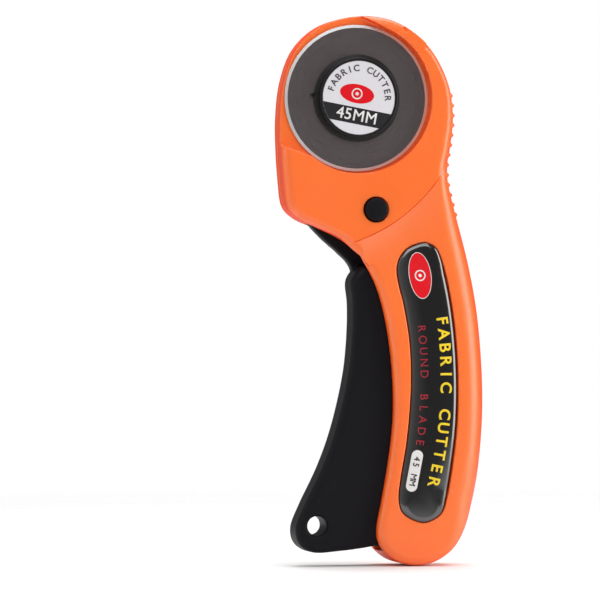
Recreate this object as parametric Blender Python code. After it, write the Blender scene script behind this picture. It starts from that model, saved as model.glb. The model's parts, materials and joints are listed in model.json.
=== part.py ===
"""Squeeze-handle rotary cutter with a 45 mm round blade.

It stands upright: +Z runs from the hand grip up to the blade, +X points to the thumb side,
and the blade and the cap face -Y. The origin is in the middle of the hand grip, on the
plane halfway through the handle. All lengths are in metres.
"""

import math

import bmesh
import bpy
from mathutils import Matrix

MM = 0.001
GAP = 0.3 * MM

# Driving dimensions
BLADE_RADIUS = 22.5 * MM
BLADE_THICKNESS = 0.3 * MM
BLADE_BORE_RADIUS = 4.1 * MM
SPINDLE = (-7.8 * MM, 59.0 * MM)
PIVOT = (-23.5 * MM, 32.5 * MM)
LEVER_TRAVEL = math.radians(7.5)
BUTTON = (-2.3 * MM, 24.8 * MM)
HANG_HOLE = (-20.6 * MM, -72.0 * MM)
HANG_HOLE_RADIUS = 3.0 * MM

# Levels through the thickness, as Y: the front is negative
HANDLE_FACE = 10.0 * MM
GRIP_FACE = 6.0 * MM
SLOT_FACE = 6.3 * MM
HEAD_FRONT = -6.5 * MM
GUARD_FRONT = -2.6 * MM
GUARD_INNER = -0.4 * MM
PARTING = 2.0 * MM
HEAD_REAR_INNER = 5.6 * MM
HEAD_REAR = 7.6 * MM
PLATE_FRONT = 0.1 * MM
PLATE_REAR = 4.5 * MM
BLADE_BACK = GUARD_FRONT - GAP
BLADE_FRONT = BLADE_BACK - BLADE_THICKNESS
CAP_BACK = BLADE_FRONT - GAP
CAP_FRONT = CAP_BACK - 3.3 * MM
LABEL_FRONT = CAP_FRONT + 0.2 * MM
LABEL_BACK = LABEL_FRONT + 0.4 * MM
NUT_FRONT = 9.4 * MM
NUT_REAR = 13.5 * MM

# Radii and walls
POCKET_RADIUS = 23.3 * MM
POCKET_REACH = 45.0 * MM
# The angle where each end of the pocket's wall is, and the way that it runs on
POCKET_ENDS = (
    (math.radians(231), math.radians(161)),
    (math.radians(424), math.radians(154)),
)
HUB_RADIUS = 5.0 * MM
HUB_SLOT_RADIUS = 5.4 * MM
SHANK_RADIUS = 3.0 * MM
SHANK_HOLE_RADIUS = 3.2 * MM
CAP_RADIUS = 13.4 * MM
LABEL_RADIUS = 11.3 * MM
NUT_RADIUS = 9.6 * MM
PIN_RADIUS = 1.5 * MM
PIN_HOLE_RADIUS = 1.65 * MM
BUTTON_RADIUS = 3.6 * MM
BUTTON_HOLE_RADIUS = 3.95 * MM
BUTTON_WAIST_RADIUS = 2.2 * MM
SCREW_HOLE_RADIUS = 1.6 * MM
SCREW_SHANK_RADIUS = 1.25 * MM
SCREW_HEAD_RADIUS = 2.7 * MM
COUNTERBORE_RADIUS = 3.1 * MM
POST_RADIUS = 3.0 * MM
POST_SHORT = 0.15 * MM
POST_ROOT = 0.3 * MM
HEAD_SCREW_SEAT = HEAD_REAR - 1.7 * MM
HANDLE_SCREW_SEAT = HANDLE_FACE - 2.2 * MM
HEAD_SCREW_TIP = -0.8 * MM
HANDLE_SCREW_TIP = -4.0 * MM
HOLE_SPARE = 0.4 * MM
SCREW_HEAD_HEIGHT = 1.3 * MM
INLAY_DEPTH = 2.4 * MM
CREASE_CENTRE = (-25.2 * MM, 64.3 * MM)
CREASE_RADIUS = 52.0 * MM
SLOPE_RISE = ((7 * MM, 0.44), (14 * MM, 0.8), (28 * MM, 1.02))
SPRING_HEIGHT = -22.0 * MM
SPRING_RADIUS = 3.1 * MM
WIRE_RADIUS = 0.45 * MM
SPRING_FROM = 11.5 * MM
SPRING_TO = 26.4 * MM
SPRING_TURNS = 6
EDGE_STEPS = 3

# Thumb grooves down the right-hand edge
GROOVE_COUNT = 13
GROOVE_PITCH = 3.05 * MM
GROOVE_TOP = 60.0 * MM
GROOVE_RADIUS = 0.9 * MM
GROOVE_SINK = 0.35

# Outlines as (x, z) in millimetres, clockwise from the top, to be joined by a smooth curve
HEAD_OUTLINE = [
    (-5.5, 84.2), (3.2, 82.9), (11.0, 78.5), (16.9, 71.9), (21.0, 63.0), (22.5, 53.5),
    (21.8, 44.5), (20.7, 37.0), (20.6, 30.0), (19.5, 20.0), (10.0, 7.0), (-2.0, 4.0),
    (-7.2, 10.4), (-12.0, 15.1), (-19.7, 19.1), (-26.2, 22.2), (-29.7, 26.0), (-30.8, 33.0),
    (-31.5, 43.0), (-31.6, 53.0), (-30.4, 63.5), (-27.0, 73.0), (-21.0, 79.6), (-13.8, 83.0),
]
HANDLE_OUTLINE = [
    (19.4, 42.0), (20.3, 37.5), (21.0, 32.5), (22.6, 26.5), (24.8, 18.0), (27.6, 6.5), (29.9, -6.0),
    (31.3, -20.0), (31.8, -34.0), (31.2, -47.0), (29.6, -59.5), (26.8, -70.5), (22.8, -78.0),
    (17.2, -82.6), (11.0, -84.3), (5.0, -83.4), (0.6, -80.6), (-2.0, -76.8), (-2.4, -72.5),
    (-1.1, -65.5), (0.8, -55.0), (2.3, -44.0), (2.8, -34.0), (2.2, -22.0), (0.6, -10.0),
    (-2.2, 0.5), (-6.0, 7.4), (-9.8, 12.4), (-9.0, 16.0), (-2.0, 20.0), (7.0, 26.0),
    (13.5, 34.0), (17.0, 39.5),
]
INLAY_OUTLINE = [
    (10.6, 14.6), (6.4, 12.6), (3.8, 8.6), (3.6, 3.6), (5.6, -5.0), (7.3, -15.5),
    (7.8, -26.0), (7.4, -36.5), (6.3, -47.0), (4.6, -57.0), (3.9, -64.0), (5.6, -68.6),
    (11.6, -71.2), (17.0, -68.9), (19.2, -63.8), (21.2, -52.5), (22.5, -41.0), (22.8, -29.0),
    (22.3, -17.0), (20.9, -5.0), (18.9, 5.0), (16.6, 12.0), (13.8, 14.5),
]
PLATE_OUTLINE = [
    (-7.8, 68.6), (-1.0, 65.6), (1.6, 59.0), (3.4, 46.0), (6.2, 33.0), (7.2, 24.0),
    (8.0, 14.0), (9.5, 4.5), (8.0, -4.0), (0.0, -6.0), (-6.5, -1.0), (-8.6, 7.0),
    (-12.4, 11.4), (-16.8, 15.2), (-21.0, 19.4), (-24.8, 24.0), (-26.6, 30.0), (-25.9, 35.6),
    (-21.6, 41.0), (-18.4, 49.0), (-17.4, 59.0), (-14.4, 66.0),
]
GRIP_OUTLINE = [
    (-7.7, 6.3), (-5.6, 7.6), (0.0, 6.6), (5.0, 4.4), (9.4, 1.0), (10.6, -8.0), (10.8, -22.0),
    (10.0, -36.0), (8.2, -50.0), (5.8, -63.0), (3.8, -73.0), (1.6, -77.2), (-5.0, -78.8),
    (-14.0, -79.9), (-21.5, -80.2), (-26.0, -77.6), (-27.1, -72.6), (-24.4, -65.6),
    (-19.3, -55.2), (-15.5, -45.4), (-12.6, -35.0), (-10.4, -24.0), (-9.4, -13.0),
    (-9.3, -4.0), (-9.9, 1.6), (-9.3, 4.3),
]
HEAD_CAVITY = [
    (-29.0, 40.0), (-28.4, 30.6), (-26.8, 25.4), (-22.6, 21.0), (-22.0, 15.0), (-14.0, 3.0),
    (0.0, 4.0), (16.0, 6.0), (18.0, 20.0), (18.2, 31.0), (18.4, 38.0), (19.4, 45.0),
    (20.0, 53.5), (18.8, 62.0), (15.0, 70.4), (9.6, 76.5), (2.8, 80.5), (-5.5, 81.6),
    (-13.0, 80.6), (-19.4, 77.6), (-24.8, 71.6), (-28.0, 62.8), (-29.1, 53.0),
]
SLOT = [
    (-9.2, 11.0), (20.6, 11.0), (22.6, 5.0), (25.4, -6.0), (27.4, -20.0), (28.4, -34.0),
    (27.8, -47.0), (26.2, -59.0), (23.6, -69.5), (20.2, -76.2), (15.6, -80.0), (10.0, -81.0),
    (3.0, -79.8), (-40.0, -79.8), (-40.0, -20.0), (-14.0, 5.0),
]
HEAD_SPINE = [(-6.0, 60.0), (-6.0, 46.0), (-8.0, 32.0), (4.0, 18.0)]
HANDLE_SPINE = [
    (17.0, 30.0), (10.0, 14.0), (12.0, 0.0), (16.0, -18.0), (17.4, -36.0), (15.4, -56.0),
    (11.5, -74.0),
]
INLAY_SPINE = [(11.0, 8.0), (13.5, -10.0), (15.2, -28.0), (13.6, -48.0), (11.6, -63.0)]
GRIP_SPINE = [(-2.0, 0.0), (0.5, -22.0), (-3.0, -45.0), (-10.0, -64.0), (-14.0, -72.0)]
HEAD_SCREWS = {"screw_head_top": (13.6, 66.4), "screw_head_side": (15.2, 42.0)}
HANDLE_SCREWS = {
    "screw_neck": (14.2, 20.0),
    "screw_handle": (26.3, -44.0),
    "screw_tail": (21.0, -70.8),
}

# Colours, roughness and metallic value of each finish
ORANGE = ((1.0, 0.17, 0.03), 0.38, 0.0)
GLOSS_BLACK = ((0.012, 0.012, 0.013), 0.12, 0.0)
MATT_BLACK = ((0.022, 0.022, 0.024), 0.55, 0.0)
STEEL = ((0.56, 0.57, 0.58), 0.28, 1.0)
BLADE_STEEL = ((0.42, 0.42, 0.43), 0.3, 1.0)
LABEL_WHITE = ((0.86, 0.86, 0.85), 0.35, 0.0)


def clear_scene():
    for obj in list(bpy.data.objects):
        bpy.data.objects.remove(obj)


def collection(name):
    made = bpy.data.collections.new(name)
    bpy.context.scene.collection.children.link(made)
    return made


def material(name, finish):
    colour, roughness, metallic = finish
    made = bpy.data.materials.new(name)
    made.use_nodes = True
    shader = made.node_tree.nodes["Principled BSDF"]
    shader.inputs["Base Color"].default_value = (*colour, 1.0)
    shader.inputs["Roughness"].default_value = roughness
    shader.inputs["Metallic"].default_value = metallic
    return made


def metres(points):
    return [(x * MM, z * MM) for x, z in points]


def smooth(points, steps=2):
    """The closed Catmull-Rom curve through the points, with this many steps a span."""
    curve = []
    count = len(points)
    for i in range(count):
        a, b, c, d = (points[(i + k) % count] for k in (-1, 0, 1, 2))
        for step in range(steps):
            t = step / steps
            curve.append(tuple(
                0.5 * (2 * q + (r - p) * t + (2 * p - 5 * q + 4 * r - s) * t * t
                       + (3 * q - p - 3 * r + s) * t ** 3)
                for p, q, r, s in zip(a, b, c, d)
            ))
    return curve


def arc(centre, radius, start, end, steps):
    turn = (end - start) / steps
    return [
        (centre[0] + radius * math.cos(start + turn * i), centre[1] + radius * math.sin(start + turn * i))
        for i in range(steps + 1)
    ]


def stadium(start, end, radius):
    """Outline of a slot from start to end with round ends."""
    lean = math.atan2(end[1] - start[1], end[0] - start[0])
    quarter = math.pi / 2
    far = arc(end, radius, lean - quarter, lean + quarter, 12)
    near = arc(start, radius, lean + quarter, lean + 3 * quarter, 12)
    return far + near


def about_pivot(point, angle):
    """The place of a lever point once the lever has turned: the blade swings up and left."""
    x = point[0] - PIVOT[0]
    z = point[1] - PIVOT[1]
    turned_x = x * math.cos(angle) - z * math.sin(angle)
    turned_z = x * math.sin(angle) + z * math.cos(angle)
    return (PIVOT[0] + turned_x, PIVOT[1] + turned_z)


def nearest(point, spine):
    """The nearest point to this one on a chain of straight runs."""
    best = None
    for (ax, az), (bx, bz) in zip(spine, spine[1:]):
        run = (bx - ax, bz - az)
        along = ((point[0] - ax) * run[0] + (point[1] - az) * run[1]) / (run[0] ** 2 + run[1] ** 2)
        along = min(1.0, max(0.0, along))
        found = (ax + along * run[0], az + along * run[1])
        away = math.dist(point, found)
        if best is None or away < best[0]:
            best = (away, found)
    return best[1]


def moved_in(point, spine, distance):
    target = nearest(point, spine)
    part = distance / math.dist(point, target)
    return tuple(p + (t - p) * part for p, t in zip(point, target))


def add(name, mesh, where, finish=None):
    obj = bpy.data.objects.new(name, mesh)
    where.objects.link(obj)
    if finish:
        mesh.materials.append(finish)
    return obj


def solid(name, bm, where, finish=None):
    """An object from a closed bmesh, with its faces turned outwards."""
    bmesh.ops.remove_doubles(bm, verts=bm.verts, dist=0.00001)
    bmesh.ops.recalc_face_normals(bm, faces=bm.faces)
    mesh = bpy.data.meshes.new(name)
    bm.to_mesh(mesh)
    bm.free()
    mesh.shade_smooth()
    mesh.set_sharp_from_angle(angle=math.radians(35))
    return add(name, mesh, where, finish)


def slab(name, outline, back, front, where, finish=None):
    """A closed outline given thickness along Y, from back to front."""
    bm = bmesh.new()
    face = bm.faces.new([bm.verts.new((x, back, z)) for x, z in outline])
    grown = bmesh.ops.extrude_face_region(bm, geom=[face], use_keep_orig=True)["geom"]
    moved = [item for item in grown if isinstance(item, bmesh.types.BMVert)]
    bmesh.ops.translate(bm, verts=moved, vec=(0, front - back, 0))
    return solid(name, bm, where, finish)


def rounded_slab(name, outline, back, front, where, finish, rounding, spine, round_back=False):
    """A closed outline given thickness along Y, with rounded edges, as a loft of rings.

    rounding(x, z) gives the width and the depth of the rounded edge at each outline point,
    on the front face and, with round_back, on the back face too. The edge draws in towards
    the spine, a chain of straight runs down the middle of the outline.
    """
    toward_front = 1 if front > back else -1
    angles = [math.pi / 2 * step / EDGE_STEPS for step in range(EDGE_STEPS + 1)]

    def ring(angle, face, sign):
        points = []
        for x, z in outline:
            width, depth = rounding(x, z)
            px, pz = moved_in((x, z), spine, width * (1 - math.cos(angle)))
            points.append((px, face - sign * toward_front * depth * (1 - math.sin(angle)), pz))
        return points

    if round_back:
        rings = [ring(angle, back, -1) for angle in reversed(angles)]
    else:
        rings = [[(x, back, z) for x, z in outline]]
    rings.extend(ring(angle, front, 1) for angle in angles)
    bm = bmesh.new()
    loops = [[bm.verts.new(point) for point in points] for points in rings]
    for low, high in zip(loops, loops[1:]):
        for i in range(len(low)):
            j = (i + 1) % len(low)
            bm.faces.new((low[i], low[j], high[j], high[i]))
    bm.faces.new(loops[0])
    bm.faces.new(loops[-1])
    return solid(name, bm, where, finish)


def turned(name, profile, centre, where, finish=None, sides=32):
    """A profile of (radius, y) points turned about the line along Y through centre."""
    bm = bmesh.new()
    points = [bm.verts.new((centre[0] + radius, y, centre[1])) for radius, y in profile]
    pairs = list(zip(points, points[1:]))
    if profile[0][0] > 0:
        pairs.append((points[-1], points[0]))
    edges = [bm.edges.new(pair) for pair in pairs]
    bmesh.ops.spin(
        bm, geom=points + edges, cent=(centre[0], 0, centre[1]), axis=(0, 1, 0),
        angle=2 * math.pi, steps=sides, use_merge=True,
    )
    return solid(name, bm, where, finish)


def cylinder(name, centre, radius, back, front, where, finish=None, sides=24):
    bm = bmesh.new()
    middle = Matrix.Translation((centre[0], (back + front) / 2, centre[1]))
    bmesh.ops.create_cone(
        bm, cap_ends=True, segments=sides, radius1=radius, radius2=radius,
        depth=abs(front - back), matrix=middle @ Matrix.Rotation(math.pi / 2, 4, "X"),
    )
    return solid(name, bm, where, finish)


def combine(obj, other, operation, cutters):
    """Cut other from obj, or join it on, with an exact Boolean."""
    for linked in list(other.users_collection):
        linked.objects.unlink(other)
    cutters.objects.link(other)
    other.hide_render = True
    other.display_type = "WIRE"
    modifier = obj.modifiers.new(other.name, "BOOLEAN")
    modifier.operation = operation
    modifier.solver = "EXACT"
    modifier.object = other


def share(value, low, high):
    """How far value is from low to high, held between 0 and 1."""
    return min(1.0, max(0.0, (value - low) / (high - low)))


def thumb_rounding(z):
    """The rounding of the thumb side grows from the top of the head down to the handle."""
    return (2.2 + 4.8 * share(z, 62 * MM, 20 * MM)) * MM


def handle_rounding(x, z):
    """Crisp on the trigger side and broad on the thumb side."""
    middle = nearest((x, z), metres(HANDLE_SPINE))[0]
    thumb_side = share(x, middle - 8 * MM, middle + 8 * MM)
    if z > 14 * MM and x < 18.5 * MM:
        thumb_side = 0
    radius = 2.8 * MM + thumb_side * (thumb_rounding(z) - 2.8 * MM)
    return radius, radius


def rear_rounding(x, z):
    return 2.2 * MM, 2.4 * MM


def head_rounding(x, z):
    thumb_side = share(x, 2 * MM, 16 * MM) if z > 24 * MM else 0
    width = 1.6 * MM + thumb_side * (thumb_rounding(z) - 1.6 * MM)
    return width, min(width, 4.5 * MM)


def front_screw_posts(shell, cutters):
    """Posts inside the front shell that the screws bite into, each with its blind hole."""
    tip = PARTING - POST_SHORT
    rows = ((HEAD_SCREWS, GUARD_INNER, HEAD_SCREW_TIP), (HANDLE_SCREWS, -SLOT_FACE, HANDLE_SCREW_TIP))
    for names, seat, screw_tip in rows:
        hole_end = screw_tip - HOLE_SPARE
        for name, place in names.items():
            centre = metres([place])[0]
            post = cylinder("front_post_" + name, centre, POST_RADIUS, seat - POST_ROOT, tip,
                            cutters, sides=16)
            combine(shell, post, "UNION", cutters)
            drill = cylinder("front_drill_" + name, centre, SCREW_HOLE_RADIUS, tip + POST_ROOT,
                             hole_end, cutters, sides=16)
            combine(shell, drill, "DIFFERENCE", cutters)


def rear_screw_posts(shell, cutters):
    """Posts inside the rear shell, drilled through and counterbored for the screw heads."""
    tip = PARTING + GAP + POST_SHORT
    outside = HANDLE_FACE + 1 * MM
    rows = (
        (HEAD_SCREWS, HEAD_REAR_INNER, HEAD_SCREW_SEAT),
        (HANDLE_SCREWS, SLOT_FACE, HANDLE_SCREW_SEAT),
    )
    for names, inner, seat in rows:
        for name, place in names.items():
            centre = metres([place])[0]
            post = cylinder("rear_post_" + name, centre, POST_RADIUS, inner + POST_ROOT, tip,
                            cutters, sides=16)
            combine(shell, post, "UNION", cutters)
            drill = turned("rear_drill_" + name, [
                (0, tip - POST_ROOT), (SCREW_HOLE_RADIUS, tip - POST_ROOT), (SCREW_HOLE_RADIUS, seat),
                (COUNTERBORE_RADIUS, seat), (COUNTERBORE_RADIUS, outside), (0, outside),
            ], centre, cutters, sides=16)
            combine(shell, drill, "DIFFERENCE", cutters)


def thumb_grooves(shell, cutters):
    """A row of small grooves across the edge where the thumb pushes."""
    bm = bmesh.new()
    edge = smooth(metres(HEAD_OUTLINE[2:9] + HANDLE_OUTLINE[1:4]), 12)
    for index in range(GROOVE_COUNT):
        height = GROOVE_TOP - index * GROOVE_PITCH
        side = max(x for x, z in edge if abs(z - height) < GROOVE_PITCH)
        centre = Matrix.Translation((side + GROOVE_SINK * GROOVE_RADIUS, 0, height))
        bmesh.ops.create_cone(
            bm, cap_ends=True, segments=8, radius1=GROOVE_RADIUS, radius2=GROOVE_RADIUS,
            depth=30 * MM, matrix=centre @ Matrix.Rotation(math.pi / 2, 4, "X"),
        )
    combine(shell, solid(shell.name + "_grooves", bm, cutters), "DIFFERENCE", cutters)


def shell_blank(name, side, parts, cutters, finish):
    """Half of the casing, solid, from the parting plane out to the face: side is -1 at the front."""
    parting = PARTING if side < 0 else PARTING + GAP
    head_face = HEAD_FRONT if side < 0 else HEAD_REAR
    handle_curve = smooth(metres(HANDLE_OUTLINE))
    rounding = handle_rounding if side < 0 else rear_rounding
    shell = rounded_slab(name, handle_curve, parting, side * HANDLE_FACE, parts, finish,
                         rounding, metres(HANDLE_SPINE))
    head = rounded_slab(name + "_head", smooth(metres(HEAD_OUTLINE)), parting, head_face, cutters,
                        None, head_rounding, metres(HEAD_SPINE))
    combine(shell, head, "UNION", cutters)
    combine(shell, shoulder(name + "_shoulder", side, 0, cutters), "DIFFERENCE", cutters)
    return shell


def shoulder(name, side, proud, cutters):
    """The space over the head's flat face and the slope, bounded by an arc, up to the handle's."""
    head_face = -HEAD_FRONT if side < 0 else HEAD_REAR
    climb = HANDLE_FACE - head_face
    profile = [(0, head_face), (CREASE_RADIUS, head_face)]
    for out, rise in SLOPE_RISE:
        profile.append((CREASE_RADIUS + out, head_face + climb * rise))
    above = HANDLE_FACE + 5 * MM
    profile.extend([(CREASE_RADIUS + SLOPE_RISE[-1][0], above), (0, above)])
    profile = [(radius, side * (y + proud)) for radius, y in profile]
    return turned(name, profile, CREASE_CENTRE, cutters, sides=96)


def hub_slot(name, cutters, back, front):
    path = stadium(SPINDLE, about_pivot(SPINDLE, LEVER_TRAVEL), HUB_SLOT_RADIUS)
    return slab(name, path, back, front, cutters)


def blade_pocket(cutters):
    """Round the blade, and off to the upper left in a straight line from each end of the wall."""
    (low_end, low_way), (high_end, high_way) = POCKET_ENDS
    outline = arc(SPINDLE, POCKET_RADIUS, low_end, high_end, 52)
    for (x, z), way in ((outline[-1], high_way), (outline[0], low_way)):
        outline.append((x + POCKET_REACH * math.cos(way), z + POCKET_REACH * math.sin(way)))
    return slab("blade_pocket", outline, GUARD_FRONT, -20 * MM, cutters)


def front_shell(parts, cutters, finish):
    shell = shell_blank("front_shell", -1, parts, cutters, finish)
    combine(shell, blade_pocket(cutters), "DIFFERENCE", cutters)
    cavity = slab("front_head_cavity", metres(HEAD_CAVITY), PARTING + 1 * MM, GUARD_INNER, cutters)
    combine(shell, cavity, "DIFFERENCE", cutters)
    slot = slab("front_slot", metres(SLOT), PARTING + 1 * MM, -SLOT_FACE, cutters)
    combine(shell, slot, "DIFFERENCE", cutters)
    recess = slab("front_recess", smooth(metres(INLAY_OUTLINE)), -20 * MM,
                  -HANDLE_FACE + INLAY_DEPTH, cutters)
    combine(shell, recess, "DIFFERENCE", cutters)
    combine(shell, hub_slot("front_hub_slot", cutters, 3 * MM, -4 * MM), "DIFFERENCE", cutters)
    button_hole = cylinder("front_button_hole", BUTTON, BUTTON_HOLE_RADIUS, 3 * MM, -12 * MM, cutters)
    combine(shell, button_hole, "DIFFERENCE", cutters)
    pin_hole = cylinder("front_pin_hole", PIVOT, PIN_HOLE_RADIUS, 3 * MM, -1.8 * MM, cutters)
    combine(shell, pin_hole, "DIFFERENCE", cutters)
    thumb_grooves(shell, cutters)
    front_screw_posts(shell, cutters)
    return shell


def rear_shell(parts, cutters, finish):
    shell = shell_blank("rear_shell", 1, parts, cutters, finish)
    cavity = slab("rear_head_cavity", metres(HEAD_CAVITY), PARTING - 1 * MM, HEAD_REAR_INNER, cutters)
    combine(shell, cavity, "DIFFERENCE", cutters)
    slot = slab("rear_slot", metres(SLOT), PARTING - 1 * MM, SLOT_FACE, cutters)
    combine(shell, slot, "DIFFERENCE", cutters)
    recess = slab("rear_recess", smooth(metres(INLAY_OUTLINE)), 20 * MM,
                  HANDLE_FACE - INLAY_DEPTH, cutters)
    combine(shell, recess, "DIFFERENCE", cutters)
    combine(shell, hub_slot("rear_hub_slot", cutters, 4 * MM, 9 * MM), "DIFFERENCE", cutters)
    button_hole = cylinder("rear_button_hole", BUTTON, BUTTON_HOLE_RADIUS, 4 * MM, 12 * MM, cutters)
    combine(shell, button_hole, "DIFFERENCE", cutters)
    pin_hole = cylinder("rear_pin_hole", PIVOT, PIN_HOLE_RADIUS, 4 * MM, 6.8 * MM, cutters)
    combine(shell, pin_hole, "DIFFERENCE", cutters)
    thumb_grooves(shell, cutters)
    rear_screw_posts(shell, cutters)
    return shell


def inlay(name, side, parts, cutters, finish):
    """Glossy panel that lies in the recess of the handle and stands a little proud of it."""
    outline = [moved_in(point, metres(INLAY_SPINE), GAP) for point in smooth(metres(INLAY_OUTLINE))]
    floor = side * (HANDLE_FACE - INLAY_DEPTH + GAP)
    panel = rounded_slab(name, outline, floor, side * (HANDLE_FACE + GAP), parts, finish,
                         lambda x, z: (0.9 * MM, 0.6 * MM), metres(INLAY_SPINE))
    combine(panel, shoulder(name + "_shoulder", side, GAP, cutters), "DIFFERENCE", cutters)
    return panel


def trigger_lever(parts, cutters, finish):
    """Squeeze trigger, neck and blade carrier in one moulding, which turns on the pivot pin."""
    lever = rounded_slab("trigger_lever", smooth(metres(GRIP_OUTLINE)), GRIP_FACE, -GRIP_FACE,
                         parts, finish, lambda x, z: (1.7 * MM, 1.7 * MM), metres(GRIP_SPINE),
                         round_back=True)
    plate = slab("lever_plate", smooth(metres(PLATE_OUTLINE)), PLATE_REAR, PLATE_FRONT, cutters)
    combine(lever, plate, "UNION", cutters)
    hub = cylinder("lever_hub", SPINDLE, HUB_RADIUS, HEAD_REAR + 0.4 * MM, GUARD_FRONT, cutters, sides=32)
    combine(lever, hub, "UNION", cutters)
    bore = cylinder("lever_bore", SPINDLE, SHANK_HOLE_RADIUS, 12 * MM, -6 * MM, cutters)
    combine(lever, bore, "DIFFERENCE", cutters)
    pin_hole = cylinder("lever_pin_hole", PIVOT, PIN_HOLE_RADIUS, 8 * MM, -2 * MM, cutters)
    combine(lever, pin_hole, "DIFFERENCE", cutters)
    button_path = stadium(BUTTON, about_pivot(BUTTON, -LEVER_TRAVEL), BUTTON_HOLE_RADIUS)
    combine(lever, slab("lever_button_slot", button_path, 8 * MM, -2 * MM, cutters), "DIFFERENCE", cutters)
    hang_hole = cylinder("lever_hang_hole", HANG_HOLE, HANG_HOLE_RADIUS, 12 * MM, -12 * MM, cutters)
    combine(lever, hang_hole, "DIFFERENCE", cutters)
    return lever


def round_blade(parts, cutters, finish):
    middle = (BLADE_BACK + BLADE_FRONT) / 2
    bevel = 0.9 * MM
    edge = 0.02 * MM
    profile = [
        (BLADE_BORE_RADIUS, BLADE_BACK), (BLADE_RADIUS - bevel, BLADE_BACK),
        (BLADE_RADIUS, middle + edge), (BLADE_RADIUS, middle - edge),
        (BLADE_RADIUS - bevel, BLADE_FRONT), (BLADE_BORE_RADIUS, BLADE_FRONT),
    ]
    blade = turned("blade", profile, SPINDLE, parts, finish, sides=60)
    lobes = 3
    for lobe in range(lobes):
        angle = math.pi / 2 + 2 * math.pi * lobe / lobes
        x = SPINDLE[0] + BLADE_BORE_RADIUS * math.cos(angle)
        z = SPINDLE[1] + BLADE_BORE_RADIUS * math.sin(angle)
        cutter = cylinder(f"blade_lobe_{lobe}", (x, z), 1.2 * MM, 0, -6 * MM, cutters, sides=12)
        combine(blade, cutter, "DIFFERENCE", cutters)
    return blade


def spindle_parts(parts, black, steel, white):
    """Cap, label, bolt, wave washer and nut, which hold the blade on the lever's hub."""
    hub = BLADE_BORE_RADIUS - GAP
    lip = LABEL_RADIUS + GAP
    socket_end = CAP_BACK - 1 * MM
    turned("bolt_cap", [
        (0, CAP_FRONT + 0.9 * MM), (lip, CAP_FRONT + 0.9 * MM), (lip, CAP_FRONT),
        (CAP_RADIUS - 1.2 * MM, CAP_FRONT), (CAP_RADIUS - 0.9 * MM, CAP_FRONT + 1.3 * MM),
        (CAP_RADIUS, CAP_FRONT + 1.7 * MM), (CAP_RADIUS, CAP_BACK),
        (hub, CAP_BACK), (hub, BLADE_BACK), (SHANK_HOLE_RADIUS, BLADE_BACK),
        (SHANK_HOLE_RADIUS, socket_end), (0, socket_end),
    ], SPINDLE, parts, black, sides=48)
    cylinder("cap_label", SPINDLE, LABEL_RADIUS, LABEL_BACK, LABEL_FRONT, parts, white, sides=48)
    shank_tip = socket_end + GAP
    shank_end = NUT_REAR - 0.4 * MM
    turned("blade_bolt", [
        (0, shank_end), (SHANK_RADIUS - 0.4 * MM, shank_end), (SHANK_RADIUS, shank_end - 0.4 * MM),
        (SHANK_RADIUS, shank_tip), (0, shank_tip),
    ], SPINDLE, parts, steel)
    turned("wave_washer", [
        (4.0 * MM, HEAD_REAR + 0.7 * MM), (8.0 * MM, HEAD_REAR + 0.7 * MM),
        (8.0 * MM, HEAD_REAR + 1.5 * MM), (4.0 * MM, HEAD_REAR + 1.5 * MM),
    ], SPINDLE, parts, steel)


def tension_nut(parts, cutters, finish):
    """Round finger nut with scalloped sides, which sets how freely the blade turns."""
    nut = turned("tension_nut", [
        (SHANK_HOLE_RADIUS, NUT_FRONT), (NUT_RADIUS, NUT_FRONT), (NUT_RADIUS, NUT_REAR - 1 * MM),
        (NUT_RADIUS - 1 * MM, NUT_REAR), (SHANK_HOLE_RADIUS, NUT_REAR),
    ], SPINDLE, parts, finish, sides=48)
    scallops = 12
    for index in range(scallops):
        angle = 2 * math.pi * index / scallops
        reach = NUT_RADIUS + 0.8 * MM
        centre = (SPINDLE[0] + reach * math.cos(angle), SPINDLE[1] + reach * math.sin(angle))
        cutter = cylinder(f"nut_scallop_{index}", centre, 1.5 * MM, 8 * MM, 15 * MM, cutters, sides=10)
        combine(nut, cutter, "DIFFERENCE", cutters)
    return nut


def lock_button(parts, black, steel):
    """Cross-bolt pushed through the head to lock the lever, and the clip that holds it in place."""
    front = HEAD_FRONT - 1.2 * MM
    rear_head = HEAD_REAR_INNER
    turned("lock_button", [
        (0, HEAD_REAR + 1.2 * MM), (BUTTON_RADIUS - 0.4 * MM, HEAD_REAR + 1.2 * MM),
        (BUTTON_RADIUS, HEAD_REAR + 0.8 * MM), (BUTTON_RADIUS, rear_head), (BUTTON_WAIST_RADIUS, rear_head),
        (BUTTON_WAIST_RADIUS, GUARD_INNER - 0.6 * MM), (BUTTON_RADIUS, GUARD_INNER - 0.6 * MM),
        (BUTTON_RADIUS, front + 0.7 * MM), (BUTTON_RADIUS - 0.7 * MM, front), (0, front),
    ], BUTTON, parts, black)
    mouth = math.radians(40)
    outer = arc(BUTTON, 5.2 * MM, mouth, 2 * math.pi - mouth, 20)
    inner = arc(BUTTON, BUTTON_WAIST_RADIUS + GAP, 2 * math.pi - mouth, mouth, 12)
    slab("button_clip", outer + inner, PLATE_REAR + 0.8 * MM, PLATE_REAR + 0.4 * MM, parts, steel)


def pivot_pin(parts, steel):
    cylinder("pivot_pin", PIVOT, PIN_RADIUS, 6.6 * MM, -1.6 * MM, parts, steel)


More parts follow.
